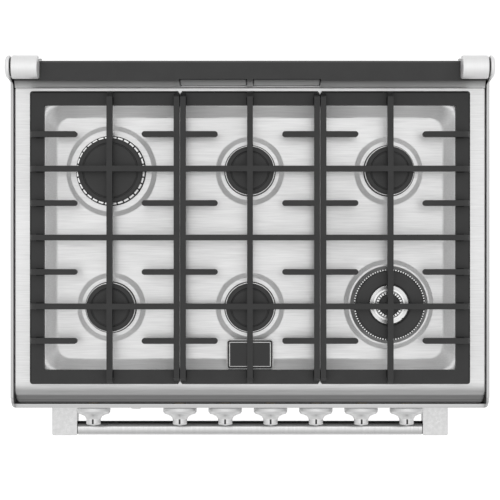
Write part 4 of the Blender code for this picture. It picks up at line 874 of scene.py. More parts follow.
def multiply(tree, first, second):
    """The product of two colours."""
    product = tree.nodes.new("ShaderNodeMix")
    product.data_type, product.blend_type = "RGBA", "MULTIPLY"
    product.inputs["Factor"].default_value = 1.0
    tree.links.new(first, product.inputs[MIX_FIRST])
    tree.links.new(second, product.inputs[MIX_SECOND])
    return product.outputs[MIXED]


def tint(material, shade):
    """Multiplies a material's colour by a shade."""
    base = material.node_tree.nodes["Principled BSDF"].inputs["Base Color"]
    material.node_tree.links.new(multiply(material.node_tree, base.links[0].from_socket, shade), base)


# The nose is tinted for the dark room it would reflect, which the pale studio doesn't have.
NOSE_SHADES = (
    (0.0, 0.06), (1.0, 1.0), (0.068, 0.07), (0.113, 0.17), (0.158, 0.25), (0.204, 0.19), (0.250, 0.29),
    (0.295, 0.28), (0.340, 0.24), (0.386, 0.33), (0.425, 0.31), (0.445, 0.58), (0.62, 0.52), (0.82, 0.80),
)
NOSE_FAR, NOSE_NEAR = -0.2900, -0.2480
SLOPE_METAL, FLAT_METAL = 0.30, 0.85
SLOPE_RISE, FLAT_RISE = 0.78, 0.96
top_steel = sheet_material("worktop_steel", grey(0.70), grey(0.86), 0.28, 0.42, 0.00004)
tree = top_steel.node_tree
surface = tree.nodes.new("ShaderNodeTexCoord")
upright = tree.nodes.new("ShaderNodeSeparateXYZ")
tree.links.new(surface.outputs["Normal"], upright.inputs["Vector"])
satin = spread(tree, upright.outputs["Z"], SLOPE_RISE, FLAT_RISE, SLOPE_METAL, FLAT_METAL)
tree.links.new(satin, tree.nodes["Principled BSDF"].inputs["Metallic"])
axes = tree.nodes.new("ShaderNodeSeparateXYZ")
tree.links.new(stretched_position(tree, (1, 1, 1)), axes.inputs["Vector"])
along_nose = spread(tree, axes.outputs["Y"], NOSE_FAR, NOSE_NEAR, 0, 1)
tint(top_steel, shade_ramp(tree, along_nose, NOSE_SHADES))
low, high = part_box("worktop")
TOP_Z = high.z
BODY_X, FRONT_Y, BACK_Y, SKIRT_Z = high.x, low.y, high.y, low.z
NOSE, RIM_CORNER, EDGE = 0.032, 0.010, 0.002
PAN_X, PAN_FRONT, PAN_BACK, PAN_CORNER, PAN_DEPTH = 0.3926, -0.2246, 0.2809, 0.027, 0.018
SLOPE_X, SLOPE_FRONT, SLOPE_BACK = 0.0244, 0.0210, 0.0233
SHEET = 0.0012


def worktop_loops():
    """Loops from the skirt's foot, over the rim and down to the floor of the pan."""
    loops = []
    skirt = [(0.0, SKIRT_Z - TOP_Z, 0), (0.0, -0.0075, 0), (0.0, -0.0046, 0)]
    nose_line = [
        (0.0, 0.0, SKIRT_Z - TOP_Z),
        (0.0, 0.0, -0.0185),
        (0.0006, 0.0, -0.0166),
        (0.0056, 0.0, -0.0118),
        (0.0100, 0.0, -0.0078),
        (0.0142, 0.0, -0.0038),
        (0.0150, 0.0, -0.0034),
        (0.0190, 0.0004, -0.0021),
        (0.0235, 0.0010, -0.0010),
        (0.0280, 0.0016, -0.0003),
        (0.0325, EDGE, 0.0),
    ]
    side_drop = [
        SKIRT_Z - TOP_Z, -0.0150, -0.0080, -0.0035, -0.0022, -0.0019, -0.0016, -0.0010, -0.0005,
        -0.0001, 0.0
    ]
    side_in = [0.0, 0.0, 0.0, 0.0, 0.0, 0.0001, 0.0003, 0.0007, 0.0012, 0.0016, EDGE]
    for (front_in, _, front_drop), drop, inset in zip(nose_line, side_drop, side_in):
        left, right = -BODY_X + inset, BODY_X - inset
        front, back = FRONT_Y + front_in, BACK_Y - inset * 0.2
        loop = rounded_loop(
            left, right, front, back, max(RIM_CORNER - inset, 0.004), TOP_Z, back_corner=0.0015
        )
        for point in loop:
            share = min(max((FRONT_Y + NOSE + 0.003 - point.y) / 0.030, 0.0), 1.0)
            share = share if inset == EDGE or front_in < 0.0325 else 0.0
            point.z = TOP_Z + drop + (front_drop - drop) * min(share * 1.6, 1.0)
        loops.append(loop)
    lip = 0.0022
    pan = [(0.0 - lip, 0.0), (0.0 - lip * 0.35, -0.00012), (0.06, -0.0006), (0.16, -0.0024)]
    pan += [(0.5, -PAN_DEPTH / 2), (0.84, -PAN_DEPTH + 0.0024), (0.94, -PAN_DEPTH + 0.0006)]
    pan += [(1.04, -PAN_DEPTH + 0.0001), (1.14, -PAN_DEPTH)]
    for share, drop in pan:
        x_in, front_in, back_in = SLOPE_X * share, SLOPE_FRONT * share, SLOPE_BACK * share
        if share < 0:
            x_in = front_in = back_in = share
        loop = rounded_loop(
            -PAN_X + x_in, PAN_X - x_in, PAN_FRONT + front_in, PAN_BACK - back_in, PAN_CORNER, TOP_Z + drop
        )
        loops.append(loop)
    return loops


def skin(bm, loops):
    rows = [[bm.verts.new(point) for point in loop] for loop in loops]
    count = len(rows[0])
    for near, far in zip(rows, rows[1:]):
        for i in range(count):
            j = (i + 1) % count
            bm.faces.new((near[i], near[j], far[j], far[i]))
    return rows


BURNERS = ("rear_left", "rear_centre", "rear_right", "front_left", "front_centre", "front_right")
SMALL = {"foot": 0.0648, "seat": 0.0560, "rim": 0.0474, "head": 0.0492, "cap": 0.0457, "step": 0.0355}
LARGE = {"foot": 0.0857, "seat": 0.0776, "rim": 0.0650, "head": 0.0676, "cap": 0.0615, "step": 0.0515}
RING = {"foot": 0.0850, "seat": 0.0773, "rim": 0.0671, "head": 0.0740, "cap": 0.0651, "step": 0.0378}
SIZES = {burner: SMALL for burner in BURNERS} | {"rear_left": LARGE, "front_right": RING}
SEAT_RISE, SEAT_HOLE = 0.010, 0.0175
bm = bmesh.new()
rows = skin(bm, worktop_loops())
pan_floor = TOP_Z - PAN_DEPTH
boundary = [edge for edge in bm.edges if edge.is_boundary and edge.verts[0].co.z < pan_floor + 0.0001]
boundary = [e for e in boundary if all(abs(v.co.x) < PAN_X - SLOPE_X * 1.02 + 0.003 for v in e.verts)]
burner_places, holes = {}, []
SEAT_SIDES = 96
for burner in BURNERS:
    low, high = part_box("burner_head_" + burner)
    centre = Vector(((low.x + high.x) / 2, (low.y + high.y) / 2, 0))
    burner_places[burner] = (centre, pan_floor + SEAT_RISE + 0.0003, high.z)
    foot, seat = SIZES[burner]["foot"], SIZES[burner]["seat"]
    slope = foot - seat
    steps = [(foot + slope * 0.30, 0.0), (foot + slope * 0.10, 0.0003), (foot - slope * 0.06, 0.0012)]
    steps += [(seat + slope * 0.20, SEAT_RISE - 0.0014), (seat + slope * 0.06, SEAT_RISE - 0.0003)]
    steps += [(seat - 0.0006, SEAT_RISE), (SEAT_HOLE, SEAT_RISE)]
    rings = []
    for radius, rise in steps:
        turns = [2 * math.pi * i / SEAT_SIDES for i in range(SEAT_SIDES)]
        rings.append(
            [centre + Vector((radius * math.cos(a), radius * math.sin(a), pan_floor + rise)) for a in turns]
        )
    ring_rows = skin(bm, rings)
    first = ring_rows[0]
    for i in range(SEAT_SIDES):
        holes.append(bm.edges.get((first[i], first[(i + 1) % SEAT_SIDES])))
bmesh.ops.triangle_fill(bm, edges=boundary + holes, use_beauty=True, normal=(0, 0, 1))
bmesh.ops.dissolve_limit(bm, angle_limit=0.0005, verts=bm.verts, edges=bm.edges, delimit={"NORMAL"})
sheet = make_piece("worktop_pressed", bm, top_steel)
thickness = sheet.modifiers.new("sheet thickness", "SOLIDIFY")
thickness.thickness = SHEET
thickness.offset = -1.0
sheet.modifiers.move(1, 0)
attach(sheet, "cabinet")
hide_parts("worktop")


# ---- Badge plate
# A blank black enamelled plate in a raised double frame of steel, set at the front of the pan.
low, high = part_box("badge_plate")
plate_black = pebbled_material("badge_enamel", grey(0.006), grey(0.010), 0.14, 0.22, 400, 0.00001)
frame_steel = ground_material("badge_frame_steel", (5, 900, 900), grey(0.62), grey(0.78), 0.16, 0.26)
centre_x, centre_y = (low.x + high.x) / 2, (low.y + high.y) / 2
half_x, half_y = (high.x - low.x) / 2, (high.y - low.y) / 2
bm = bmesh.new()
frame_steps = [(0.0, low.z), (0.0, high.z - 0.0010), (0.0004, high.z - 0.0005), (0.0017, high.z - 0.0005)]
frame_steps += [(0.0019, high.z - 0.0040), (0.0041, high.z - 0.0040), (0.0043, high.z - 0.0002)]
frame_steps += [(0.0060, high.z - 0.0002), (0.0064, high.z - 0.0010), (0.0064, low.z)]
loops = []
for inset, z in frame_steps:
    corner = max(0.0060 - inset, 0.0006)
    loops.append(
        rounded_loop(
            centre_x - half_x + inset, centre_x + half_x - inset,
            centre_y - half_y + inset, centre_y + half_y - inset, corner, z, 5,
        )
    )
rows = skin(bm, loops)
count = len(rows[0])
for i in range(count):
    j = (i + 1) % count
    bm.faces.new((rows[-1][i], rows[-1][j], rows[0][j], rows[0][i]))
bezel = make_piece("badge_frame", bm, frame_steel)
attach(bezel, "cabinet")
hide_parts("badge_plate")
inner_x, inner_y = half_x - 0.0062, half_y - 0.0062
corners = [(centre_x - inner_x, centre_y - inner_y), (centre_x + inner_x, centre_y - inner_y)]
corners += [(centre_x + inner_x, centre_y + inner_y), (centre_x - inner_x, centre_y + inner_y)]
# A black ring laid just below the top of the frame covers its groove: painted shade for the dark groove.
bm = bmesh.new()
loops = []
for inset in (0.0018, 0.0042):
    loops.append(
        rounded_loop(
            centre_x - half_x + inset, centre_x + half_x - inset,
            centre_y - half_y + inset, centre_y + half_y - inset, 0.006 - inset, high.z - 0.0018, 5,
        )
    )
skin(bm, loops)
groove_shade = make_piece("badge_trench", bm, plate_black, False)
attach(groove_shade, "cabinet")
field = round_edges(
    make_piece("badge_field", plate(corners, (low.z, high.z - 0.0008), "Z"), plate_black), 0.0004
)
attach(field, "cabinet")

# ---- Burner heads
# Machined aluminium castings on the pressed seats: a skirt that slopes out to the sheet, a bright
# turned ledge, and a row of ports round the rim under the cap.
bright_aluminium = ground_material(
    "turned_aluminium", (5, 1800, 1), grey(0.78), grey(0.92), 0.20, 0.32, kind="UV"
)
# Near-black that fills the flame ports and the gap round each head as painted shade, and is the own colour of
# the crown screws.
port_shade_and_screw_black = pebbled_material("port_shade_and_black_screws", grey(0.006), grey(0.016), 0.6, 0.8, 900, 0.00002)


def ring_tree():
    """Geometry nodes that set so many copies of a template round a circle, each facing out."""
    tree = bpy.data.node_groups.new("set_round_a_ring", "GeometryNodeTree")
    tree.interface.new_socket("Geometry", in_out="INPUT", socket_type="NodeSocketGeometry")
    for label, kind in (("Count", "Int"), ("Radius", "Float"), ("Centre", "Vector")):
        tree.interface.new_socket(label, in_out="INPUT", socket_type=f"NodeSocket{kind}")
    tree.interface.new_socket("Template", in_out="INPUT", socket_type="NodeSocketObject")
    tree.interface.new_socket("Finish", in_out="INPUT", socket_type="NodeSocketMaterial")
    tree.interface.new_socket("Geometry", in_out="OUTPUT", socket_type="NodeSocketGeometry")
    start, end = tree.nodes.new("NodeGroupInput"), tree.nodes.new("NodeGroupOutput")
    circle = tree.nodes.new("GeometryNodeMeshCircle")
    template = tree.nodes.new("GeometryNodeObjectInfo")
    index = tree.nodes.new("GeometryNodeInputIndex")
    turn = tree.nodes.new("ShaderNodeMath")
    turn.operation = "DIVIDE"
    full = tree.nodes.new("ShaderNodeMath")
    full.operation = "MULTIPLY"
    full.inputs[1].default_value = 2 * math.pi
    spin = tree.nodes.new("ShaderNodeCombineXYZ")
    place = tree.nodes.new("GeometryNodeInstanceOnPoints")
    shift = tree.nodes.new("GeometryNodeTransform")
    solid = tree.nodes.new("GeometryNodeRealizeInstances")
    finish = tree.nodes.new("GeometryNodeSetMaterial")
    tree.links.new(start.outputs["Count"], circle.inputs["Vertices"])
    tree.links.new(start.outputs["Radius"], circle.inputs["Radius"])
    tree.links.new(start.outputs["Template"], template.inputs["Object"])
    tree.links.new(index.outputs["Index"], turn.inputs[0])
    tree.links.new(start.outputs["Count"], turn.inputs[1])
    tree.links.new(turn.outputs["Value"], full.inputs[0])
    tree.links.new(full.outputs["Value"], spin.inputs["Z"])
    tree.links.new(circle.outputs["Mesh"], place.inputs["Points"])
    tree.links.new(template.outputs["Geometry"], place.inputs["Instance"])
    tree.links.new(spin.outputs["Vector"], place.inputs["Rotation"])
    tree.links.new(place.outputs["Instances"], shift.inputs["Geometry"])
    tree.links.new(start.outputs["Centre"], shift.inputs["Translation"])
    tree.links.new(shift.outputs["Geometry"], solid.inputs["Geometry"])
    tree.links.new(solid.outputs["Geometry"], finish.inputs["Geometry"])
    tree.links.new(start.outputs["Finish"], finish.inputs["Material"])
    tree.links.new(finish.outputs["Geometry"], end.inputs["Geometry"])
    return tree


set_round_a_ring = ring_tree()


def block(radial, across, height):
    """A small block whose length lies along X, standing on the origin's plane."""
    corners = [
        (-radial / 2, -across / 2), (radial / 2, -across / 2), (radial / 2, across / 2),
        (-radial / 2, across / 2)
    ]
    return make_piece("block", plate(corners, (0, height), "Z"), bright_aluminium, False)


def round_a_ring(name, template, count, radius, centre, material):
    empty = bpy.data.meshes.new("nothing")
    values = {"Count": count, "Radius": radius, "Centre": centre, "Template": template, "Finish": material}
    made = run_nodes(name, empty, set_round_a_ring, values, material)
    bpy.data.objects.remove(template)
    return made


# Spacing and radial length of the ports, and how far they sit inside the rim and below the top.
PORTS = {"rear_left": (0.0125, 0.0044, 0.0016, 0.0032), "front_right": (0.0052, 0.0010, 0.0002, 0.0042)}
SMALL_PORTS = (0.0062, 0.0010, 0.0002, 0.0046)
PORT_SHARE, PORT_HEIGHT = 0.22, 0.0024
GAP_START, GAP_END, GAP_RISE = 0.0002, 0.0018, 0.0016
CROWN_IN, CROWN_OUT, CROWN_FOOT, CROWN_DROP = 0.0630, 0.0676, 0.0010, 0.0002
ring_grey = pebbled_material("ring_burner_grey", grey(0.30), grey(0.44), 0.40, 0.55, 900, 0.00003, 1.0)
for burner in BURNERS:
    centre, seat_z, top = burner_places[burner]
    size = SIZES[burner]
    rim, head_r = size["rim"], size["head"]
    base = (centre.x, centre.y, 0)
    if burner == "front_right":
        inner = size["step"] + 0.0014
        outline = [
            (inner, top - 0.0105), (inner, top - 0.0004, 0.0003), (rim - 0.0005, top - 0.0004, 0.0003)
        ]
        outline += [(rim, top - 0.0012), (rim, top - 0.0042, 0.0006), (head_r, seat_z + 0.0014, 0.0006)]
        outline += [(head_r, seat_z), (inner, seat_z)]
    else:
        outline = [(0.0165, seat_z), (0.0165, top - 0.0010), (rim - 0.0006, top - 0.0010, 0.0004)]
        outline += [(rim, top - 0.0018, 0.0004), (rim, seat_z + 0.0008), (head_r, seat_z + 0.0008)]
        outline += [(head_r, seat_z)]
    finish = ring_grey if burner == "front_right" else bright_aluminium
    head = make_piece(
        f"burner_head_{burner}_turned", lathe(soften(outline, 4), base, (0, 0, 1), 128), finish
    )
    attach(head, "cabinet")
    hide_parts("burner_head_" + burner)
    around = 2 * math.pi * rim
    spacing, radial, inset, drop = PORTS.get(burner, SMALL_PORTS)
    radius, rise = rim - inset, top - drop
    count = int(around / spacing)
    # Each flame port is a black block that stands for its dark opening: painted shade.
    ports = round_a_ring(
        f"burner_ports_{burner}", block(radial, around / count * PORT_SHARE, PORT_HEIGHT), count, radius,
        (centre.x, centre.y, rise), port_shade_and_screw_black,
    )
    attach(ports, "cabinet")
    if burner != "front_right":
        # A thin black ring stands in the gap round the head's foot: painted shade.
        near, far, ring_z = rim + GAP_START, rim + GAP_END, seat_z + GAP_RISE
        dark = [(near, seat_z), (near, ring_z), (far, ring_z), (far, seat_z)]
        gap = make_piece(f"burner_gap_{burner}", lathe(dark, base, (0, 0, 1), 96), port_shade_and_screw_black, False)
        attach(gap, "cabinet")
    else:
        crown_foot, crown_top = top - CROWN_FOOT, top - CROWN_DROP
        crown = [(CROWN_IN, crown_foot), (CROWN_IN, crown_top), (CROWN_OUT, crown_top), (CROWN_OUT, crown_foot)]
        crown_ring = make_piece(
            "ring_burner_crown", lathe(crown, base, (0, 0, 1), 128), bright_aluminium, False
        )
        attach(crown_ring, "cabinet")
        well = [
            (0, seat_z), (inner - 0.0002, seat_z), (inner - 0.0002, top - 0.0050),
            (0.0362, top - 0.0052, 0.001)
        ]
        well += [
            (0.0300, top - 0.0064, 0.003), (0.0266, top - 0.0064, 0.001), (0.0256, top - 0.0040, 0.001)
        ]
        well += [(0.0250, top - 0.0006, 0.0006), (0, top - 0.0006)]
        core = lathe(soften(well, 4), base, (0, 0, 1), 96)
        core_piece = make_piece("burner_core_front_right", core, bright_aluminium)
        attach(core_piece, "cabinet")


# ---- Burner caps
# Pressed steel discs in satin black porcelain enamel: a rounded edge, a shallow groove and a
# slightly domed centre. The ring burner has a ring-shaped cap and a small round one.


def enamel_group():
    """Fired enamel: nearly even colour, a soft orange peel and a few pale flecks of wear."""
    group, start, end = shader_group(
        "fired_enamel",
        [
            ("Position", "NodeSocketVector", None),
            ("Dark", "NodeSocketColor", (0.02, 0.02, 0.02, 1)),
            ("Light", "NodeSocketColor", (0.04, 0.04, 0.04, 1)),
            ("Smooth", "NodeSocketFloat", 0.3),
            ("Rough", "NodeSocketFloat", 0.5),
        ],
        [("Colour", "NodeSocketColor"), ("Roughness", "NodeSocketFloat"), ("Height", "NodeSocketFloat")],
    )
    peel = noise(group, start.outputs["Position"], 420.0, 2.0, 0.5)
    cloud = noise(group, start.outputs["Position"], 24.0, 4.0, 0.6)
    tone = spread(group, cloud, 0.35, 0.68, 0.0, 1.0)
    group.links.new(
        blend_colours(group, tone, start.outputs["Dark"], start.outputs["Light"]), end.inputs["Colour"]
    )
    shine = spread(group, cloud, 0.3, 0.7, start.outputs["Smooth"], start.outputs["Rough"])
    group.links.new(shine, end.inputs["Roughness"])
    group.links.new(peel, end.inputs["Height"])
    return group


fired_enamel = enamel_group()


def enamel_material(name, dark, light, smooth, rough, bump_metres):
    made, shader = new_material(name, light[:3], rough)
    values = {"Dark": dark, "Light": light, "Smooth": smooth, "Rough": rough}
    position = stretched_position(made.node_tree, (1, 1, 1))
    use_group(made, shader, fired_enamel, position, values, bump_metres)
    return made


cap_enamel = enamel_material("cap_enamel", grey(0.020), grey(0.034), 0.42, 0.58, 0.00003)
for burner in BURNERS:
    centre = burner_places[burner][0]
    cap_r, step_r = SIZES[burner]["cap"], SIZES[burner]["step"]
    node = "burner_cap_" + burner + ("_ring" if burner == "front_right" else "")
    low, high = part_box(node)
    base = (centre.x, centre.y, 0)
    if burner == "front_right":
        outline = [
            (step_r, low.z), (step_r, high.z - 0.0018, 0.001), (step_r + 0.0022, high.z - 0.0004, 0.002)
        ]
        outline += [(step_r + 0.0045, high.z, 0.002), (cap_r - 0.0045, high.z, 0.002)]
        outline += [(cap_r - 0.0018, high.z - 0.0008, 0.001), (cap_r, high.z - 0.0022, 0.0008)]
        outline += [(cap_r, low.z + 0.001, 0.001), (cap_r - 0.001, low.z)]
    else:
        groove = 0.0010
        outline = [(0, low.z), (cap_r - 0.001, low.z), (cap_r, low.z + 0.001, 0.001)]
        outline += [(cap_r, high.z - 0.0026, 0.0008), (cap_r - 0.0016, high.z - 0.0014, 0.001)]
        outline += [(step_r + 0.0020, high.z - 0.0008, 0.002)]
        outline += [
            (step_r + 0.0006, high.z - 0.0010 - groove, 0.0006),
            (step_r - 0.0006, high.z - 0.0010 - groove, 0.0006)
        ]
        outline += [
            (step_r - 0.0016, high.z - 0.0006, 0.001), (step_r * 0.8, high.z - 0.0002, 0.01),
            (0, high.z)
        ]
    cap = make_piece(node + "_enamelled", lathe(soften(outline, 5), base, (0, 0, 1), 128), cap_enamel)
    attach(cap, "cabinet")
    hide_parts(node)
low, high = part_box("burner_cap_front_right_centre")
centre = burner_places["front_right"][0]
radius = (high.x - low.x) / 2
outline = [
    (0, low.z), (radius - 0.001, low.z), (radius, low.z + 0.001, 0.001),
    (radius, high.z - 0.0030, 0.002)
]
outline += [(radius - 0.0030, high.z - 0.0008, 0.003), (radius * 0.5, high.z - 0.0001, 0.004), (0, high.z)]
cap = make_piece(
    "burner_cap_centre_enamelled", lathe(
        soften(outline, 5), (centre.x, centre.y, 0), (0, 0, 1), 96
    ), cap_enamel
)
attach(cap, "cabinet")
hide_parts("burner_cap_front_right_centre")


# ---- Crown teeth of the ring burner
# The ring cap and the small cap sit on crowns of short cast teeth, with a flame port in each gap.
# Two small screws hold the crown down.
centre, seat_z, top = burner_places["front_right"]
for name, count, radius, radial, across, rise in (
    ("outer", 84, 0.0658, 0.0040, 0.0027, top - 0.0024),
    ("inner", 28, 0.0228, 0.0042, 0.0019, top - 0.0022),
):
    spot = (centre.x, centre.y, rise)
    teeth = round_a_ring(
        f"ring_teeth_{name}", block(radial, across, 0.0028), count, radius, spot, cap_enamel
    )
    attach(teeth, "cabinet")
head = make_piece(
    "screw_template",
    lathe([(0, 0), (0.0016, 0), (0.0012, 0.0008), (0, 0.0009)], (0, 0, 0), (0, 0, 1), 12), port_shade_and_screw_black,
    False
)
spots = [((centre.x - 0.0044, centre.y + 0.0322, top - 0.0062), (0, 0, 1))]
spots.append(((centre.x + 0.0252, centre.y - 0.0266, top - 0.0056), (0, 0, 1)))
crown_screws = set_on("ring_crown_screws", head, spots, port_shade_and_screw_black)
bpy.data.objects.remove(head)
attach(crown_screws, "cabinet")


# ---- Spark electrodes
# A white ceramic post beside each burner, with a thin steel pin bent towards the ports.
ceramic = pebbled_material("electrode_ceramic", grey(0.60), grey(0.74), 0.30, 0.45, 800, 0.00001)
pin_steel = ground_material("electrode_pin_steel", (900, 900, 20), grey(0.42), grey(0.60), 0.25, 0.40)
for burner in BURNERS:
    centre, seat_z, top = burner_places[burner]
    turn = math.radians(86 if centre.x < 0.1 else 94)
    away = Vector((math.cos(turn), math.sin(turn), 0))
    spot = centre + away * (SIZES[burner]["head"] + (0.0024 if burner != "front_right" else 0.0022))
    post = [
        (0, seat_z + 0.004), (0.0026, seat_z + 0.004), (0.0026, top - 0.0010, 0.0008),
        (0.0012, top, 0.0006), (0, top)
    ]
    insulator = make_piece(
        f"electrode_post_{burner}", lathe(soften(post, 3), (spot.x, spot.y, 0), (0, 0, 1), 20), ceramic
    )
    tip = spot - away * 0.0034
    pin = wires(
        f"electrode_pin_{burner}",
        [[(spot.x, spot.y, top - 0.001), (spot.x, spot.y, top + 0.0016), (tip.x, tip.y, top + 0.0022)]],
        0.0007, pin_steel,
    )
    for part, finish in ((insulator, "cast_aluminium"), (pin, "satin_steel")):
        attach(part, "cabinet")

# ---- Grates
# Three iron castings in matt black enamel. Low flat rails lie on the rim of the worktop, and ribs
# run over them on to the fingers. The edges are rounded, and so are the inner corners.
iron_enamel = enamel_material("iron_enamel", grey(0.018), grey(0.030), 0.50, 0.64, 0.00006)
# Near-black for the strips laid on the rails: painted shade at the roots of the ribs and along the edges.
rib_shade_black = enamel_material("painted_rib_shade", grey(0.0015), grey(0.0030), 0.70, 0.85, 0.00002)
COLUMN, CROSS, MID_Y = 0.26547, 0.1302, 0.0281
BAR, TAPER, TIP = 0.0108, 0.012, 0.061
WIDE, NARROW = 0.0266, 0.0106
RAIL_Z, BAR_Z, UNDER_Z = TOP_Z + 0.014, TOP_Z + 0.032, TOP_Z + 0.018


def rib_outline(start, end, start_rail, end_rail):
    """Side view of a rib: chamfered down to a wide rail where it meets one, else square."""
    foot, crest = TOP_Z + 0.007, RAIL_Z + 0.0022
    points = [(start, BAR_Z)]
    if start_rail:
        points = [(start + 0.0012, crest), (start + TAPER * 0.45, BAR_Z - 0.006), (start + TAPER, BAR_Z)]
    if end_rail:
        points += [(end - TAPER, BAR_Z), (end - TAPER * 0.45, BAR_Z - 0.006), (end - 0.0012, crest)]
        points += [(end - 0.0012, foot), (end - end_rail + 0.002, foot), (end - end_rail - 0.003, UNDER_Z)]
    else:
        points += [(end, BAR_Z), (end, UNDER_Z)]
    if start_rail:
        points += [(start + start_rail + 0.003, UNDER_Z), (start + start_rail - 0.002, foot)]
        points += [(start + 0.0012, foot)]
    else:
        points += [(start, UNDER_Z)]
    return points


def oblong(x, y):
    return [(x[0], y[0]), (x[1], y[0]), (x[1], y[1]), (x[0], y[1])]


def raw(bm):
    return make_piece("tool", bm, iron_enamel, False)


def rib_tip(centre_x, y, side, start, end, start_rail, end_rail):
    """A finger: the rib's body with a round nose."""
    half = BAR / 2
    body = raw(plate(rib_outline(start, end, start_rail, end_rail), (y - half, y + half), "Y"))
    tip = centre_x + side * (TIP + half)
    nose = lathe([(0, UNDER_Z), (half, UNDER_Z), (half, BAR_Z), (0, BAR_Z)], (tip, y, 0), (0, 0, 1), 24)
    return weld_on(body, raw(nose))


for name, side in (("left", -1), ("centre", 0), ("right", 1)):
    node = "grate_" + name
    low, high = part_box(node)
    centre_x = side * COLUMN
    left_rail = WIDE if side < 0 else 0
    right_rail = WIDE if side > 0 else 0
    left_inner = low.x + (left_rail or NARROW)
    right_inner = high.x - (right_rail or NARROW)
    notch = 0.0030
    outer = [(low.x, low.y), (high.x, low.y), (high.x, high.y), (low.x, high.y)]
    if not left_rail:
        outer = [(low.x + notch, low.y)] + outer[1:3] + [
            (low.x + notch, high.y), (low.x, high.y - notch * 1.6)
        ]
        outer += [(low.x, low.y + notch * 1.6)]
    if not right_rail:
        at = outer.index((high.x, low.y))
        trimmed = [(high.x - notch, low.y), (high.x, low.y + notch * 1.6)]
        trimmed += [(high.x, high.y - notch * 1.6), (high.x - notch, high.y)]
        outer = outer[:at] + trimmed + outer[at + 2:]
    if left_rail:
        outer[0], outer[-1] = (*outer[0], 0.006), (*outer[-1], 0.006)
    if right_rail:
        outer[1], outer[2] = (*outer[1], 0.006), (*outer[2], 0.006)
    middle = ((outer[0][0] + outer[1][0]) / 2, outer[0][1])
    outer = soften([middle] + outer[1:] + [outer[0]] + [middle], 6)[:-1]
    casting = raw(plate(outer, (low.z, RAIL_Z), "Z"))
    open_left = left_inner if left_rail else low.x - 0.001
    open_right = right_inner if right_rail else high.x + 0.001
    window = oblong((open_left, open_right), (low.y + WIDE, high.y - WIDE))
    cut_away(casting, raw(plate(window, (low.z - 0.01, RAIL_Z + 0.01), "Z")))
    for has_wide, x in ((left_rail, (low.x, left_inner)), (right_rail, (right_inner, high.x))):
        if not has_wide:
            foot, crest = low.z + 0.002, RAIL_Z + 0.0005
            wall = [(low.y + 0.0045, crest), (low.y + TAPER, BAR_Z), (high.y - TAPER, BAR_Z)]
            wall += [(high.y - 0.0045, crest), (high.y - 0.0045, foot), (high.y - WIDE + 0.002, foot)]
            wall += [(high.y - WIDE - 0.006, UNDER_Z), (low.y + WIDE + 0.006, UNDER_Z)]
            wall += [(low.y + WIDE - 0.002, foot), (low.y + 0.0045, foot)]
            weld_on(casting, raw(plate(wall, x, "X")))
    half = BAR / 2
    weld_on(
        casting,
        raw(plate(rib_outline(low.y, high.y, WIDE, WIDE), (centre_x - half, centre_x + half), "X"))
    )
    start = low.x if left_rail else left_inner - 0.002
    end = high.x if right_rail else right_inner + 0.002
    for i in (-1, 0, 1):
        y = MID_Y + i * CROSS
        weld_on(
            casting,
            raw(plate(rib_outline(start, end, left_rail, right_rail), (y - half, y + half), "Y"))
        )
    for row in range(4):
        y = MID_Y + (row - 1.5) * CROSS
        for toward in (-1, 1):
            tip = centre_x + toward * (TIP + half)
            span = (start, tip, left_rail, 0) if toward < 0 else (tip, end, 0, right_rail)
            weld_on(casting, rib_tip(centre_x, y, toward, *span))
    bm = bmesh.new()
    bm.from_mesh(casting.data)
    bmesh.ops.remove_doubles(bm, verts=bm.verts, dist=2e-5)
    bmesh.ops.dissolve_limit(bm, angle_limit=math.radians(2), verts=bm.verts, edges=bm.edges)
    bm.to_mesh(casting.data)
    bm.free()
    casting.name = casting.data.name = node + "_casting"
    casting.data.shade_smooth()
    round_edges(casting, 0.0016, 3, 25)
    even = casting.modifiers.new("even shading", "WEIGHTED_NORMAL")
    even.keep_sharp = True
    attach(casting, node)
    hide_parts(node)

    # Thin near-black strips lie on the rails beside each rib, along the inner walls and along the outer and
    # rear edges: painted shade where corners and edges fall dark.
    bm = bmesh.new()
    runs = [((centre_x - half, low.y + TAPER), (centre_x - half, low.y + WIDE), (-1, 0))]
    runs += [((centre_x + half, low.y + TAPER), (centre_x + half, low.y + WIDE), (1, 0))]
    for has_wide, edge, out in ((left_rail, left_inner, 1), (right_rail, right_inner, -1)):
        if not has_wide:
            runs.append(((edge, low.y + TAPER), (edge, low.y + WIDE), (out, 0)))
    runs += [((x, high.y - WIDE), (x, high.y - TAPER), out) for (x, _), (_, _), out in runs]
    rows_of_ribs = [MID_Y + i * CROSS for i in (-1, 0, 1)] + [MID_Y + (i - 1.5) * CROSS for i in range(4)]
    for has_wide, near, far in (
        (left_rail, low.x + TAPER, low.x + WIDE), (right_rail, high.x - WIDE, high.x - TAPER)
    ):
        if has_wide:
            for y in rows_of_ribs:
                runs += [
                    ((near, y - half), (far, y - half), (0, -1)),
                    ((near, y + half), (far, y + half), (0, 1))
                ]
    left_end, right_end = low.x + (0.0050 if left_rail else 0.0045), high.x - (
        0.0050 if right_rail else 0.0045
    )
    runs.append(((left_end, high.y - 0.0012), (right_end, high.y - 0.0012), (0, -1.4)))
    for has_wide, x, out in ((left_rail, low.x + 0.0012, 0.8), (right_rail, high.x - 0.0012, -0.8)):
        if has_wide:
            runs.append(((x, low.y + 0.0050), (x, high.y - 0.0050), (out, 0)))
    for (x0, y0), (x1, y1), (out_x, out_y) in runs:
        shade_width = 0.0017
        corners = [
            (x0, y0), (x1, y1), (x1 + out_x * shade_width, y1 + out_y * shade_width),
            (x0 + out_x * shade_width, y0 + out_y * shade_width)
        ]
        bm.faces.new([bm.verts.new((x, y, RAIL_Z + 0.00012)) for x, y in corners])
    rib_shade_strips = make_piece(node + "_seams", bm, rib_shade_black, False)
    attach(rib_shade_strips, node)

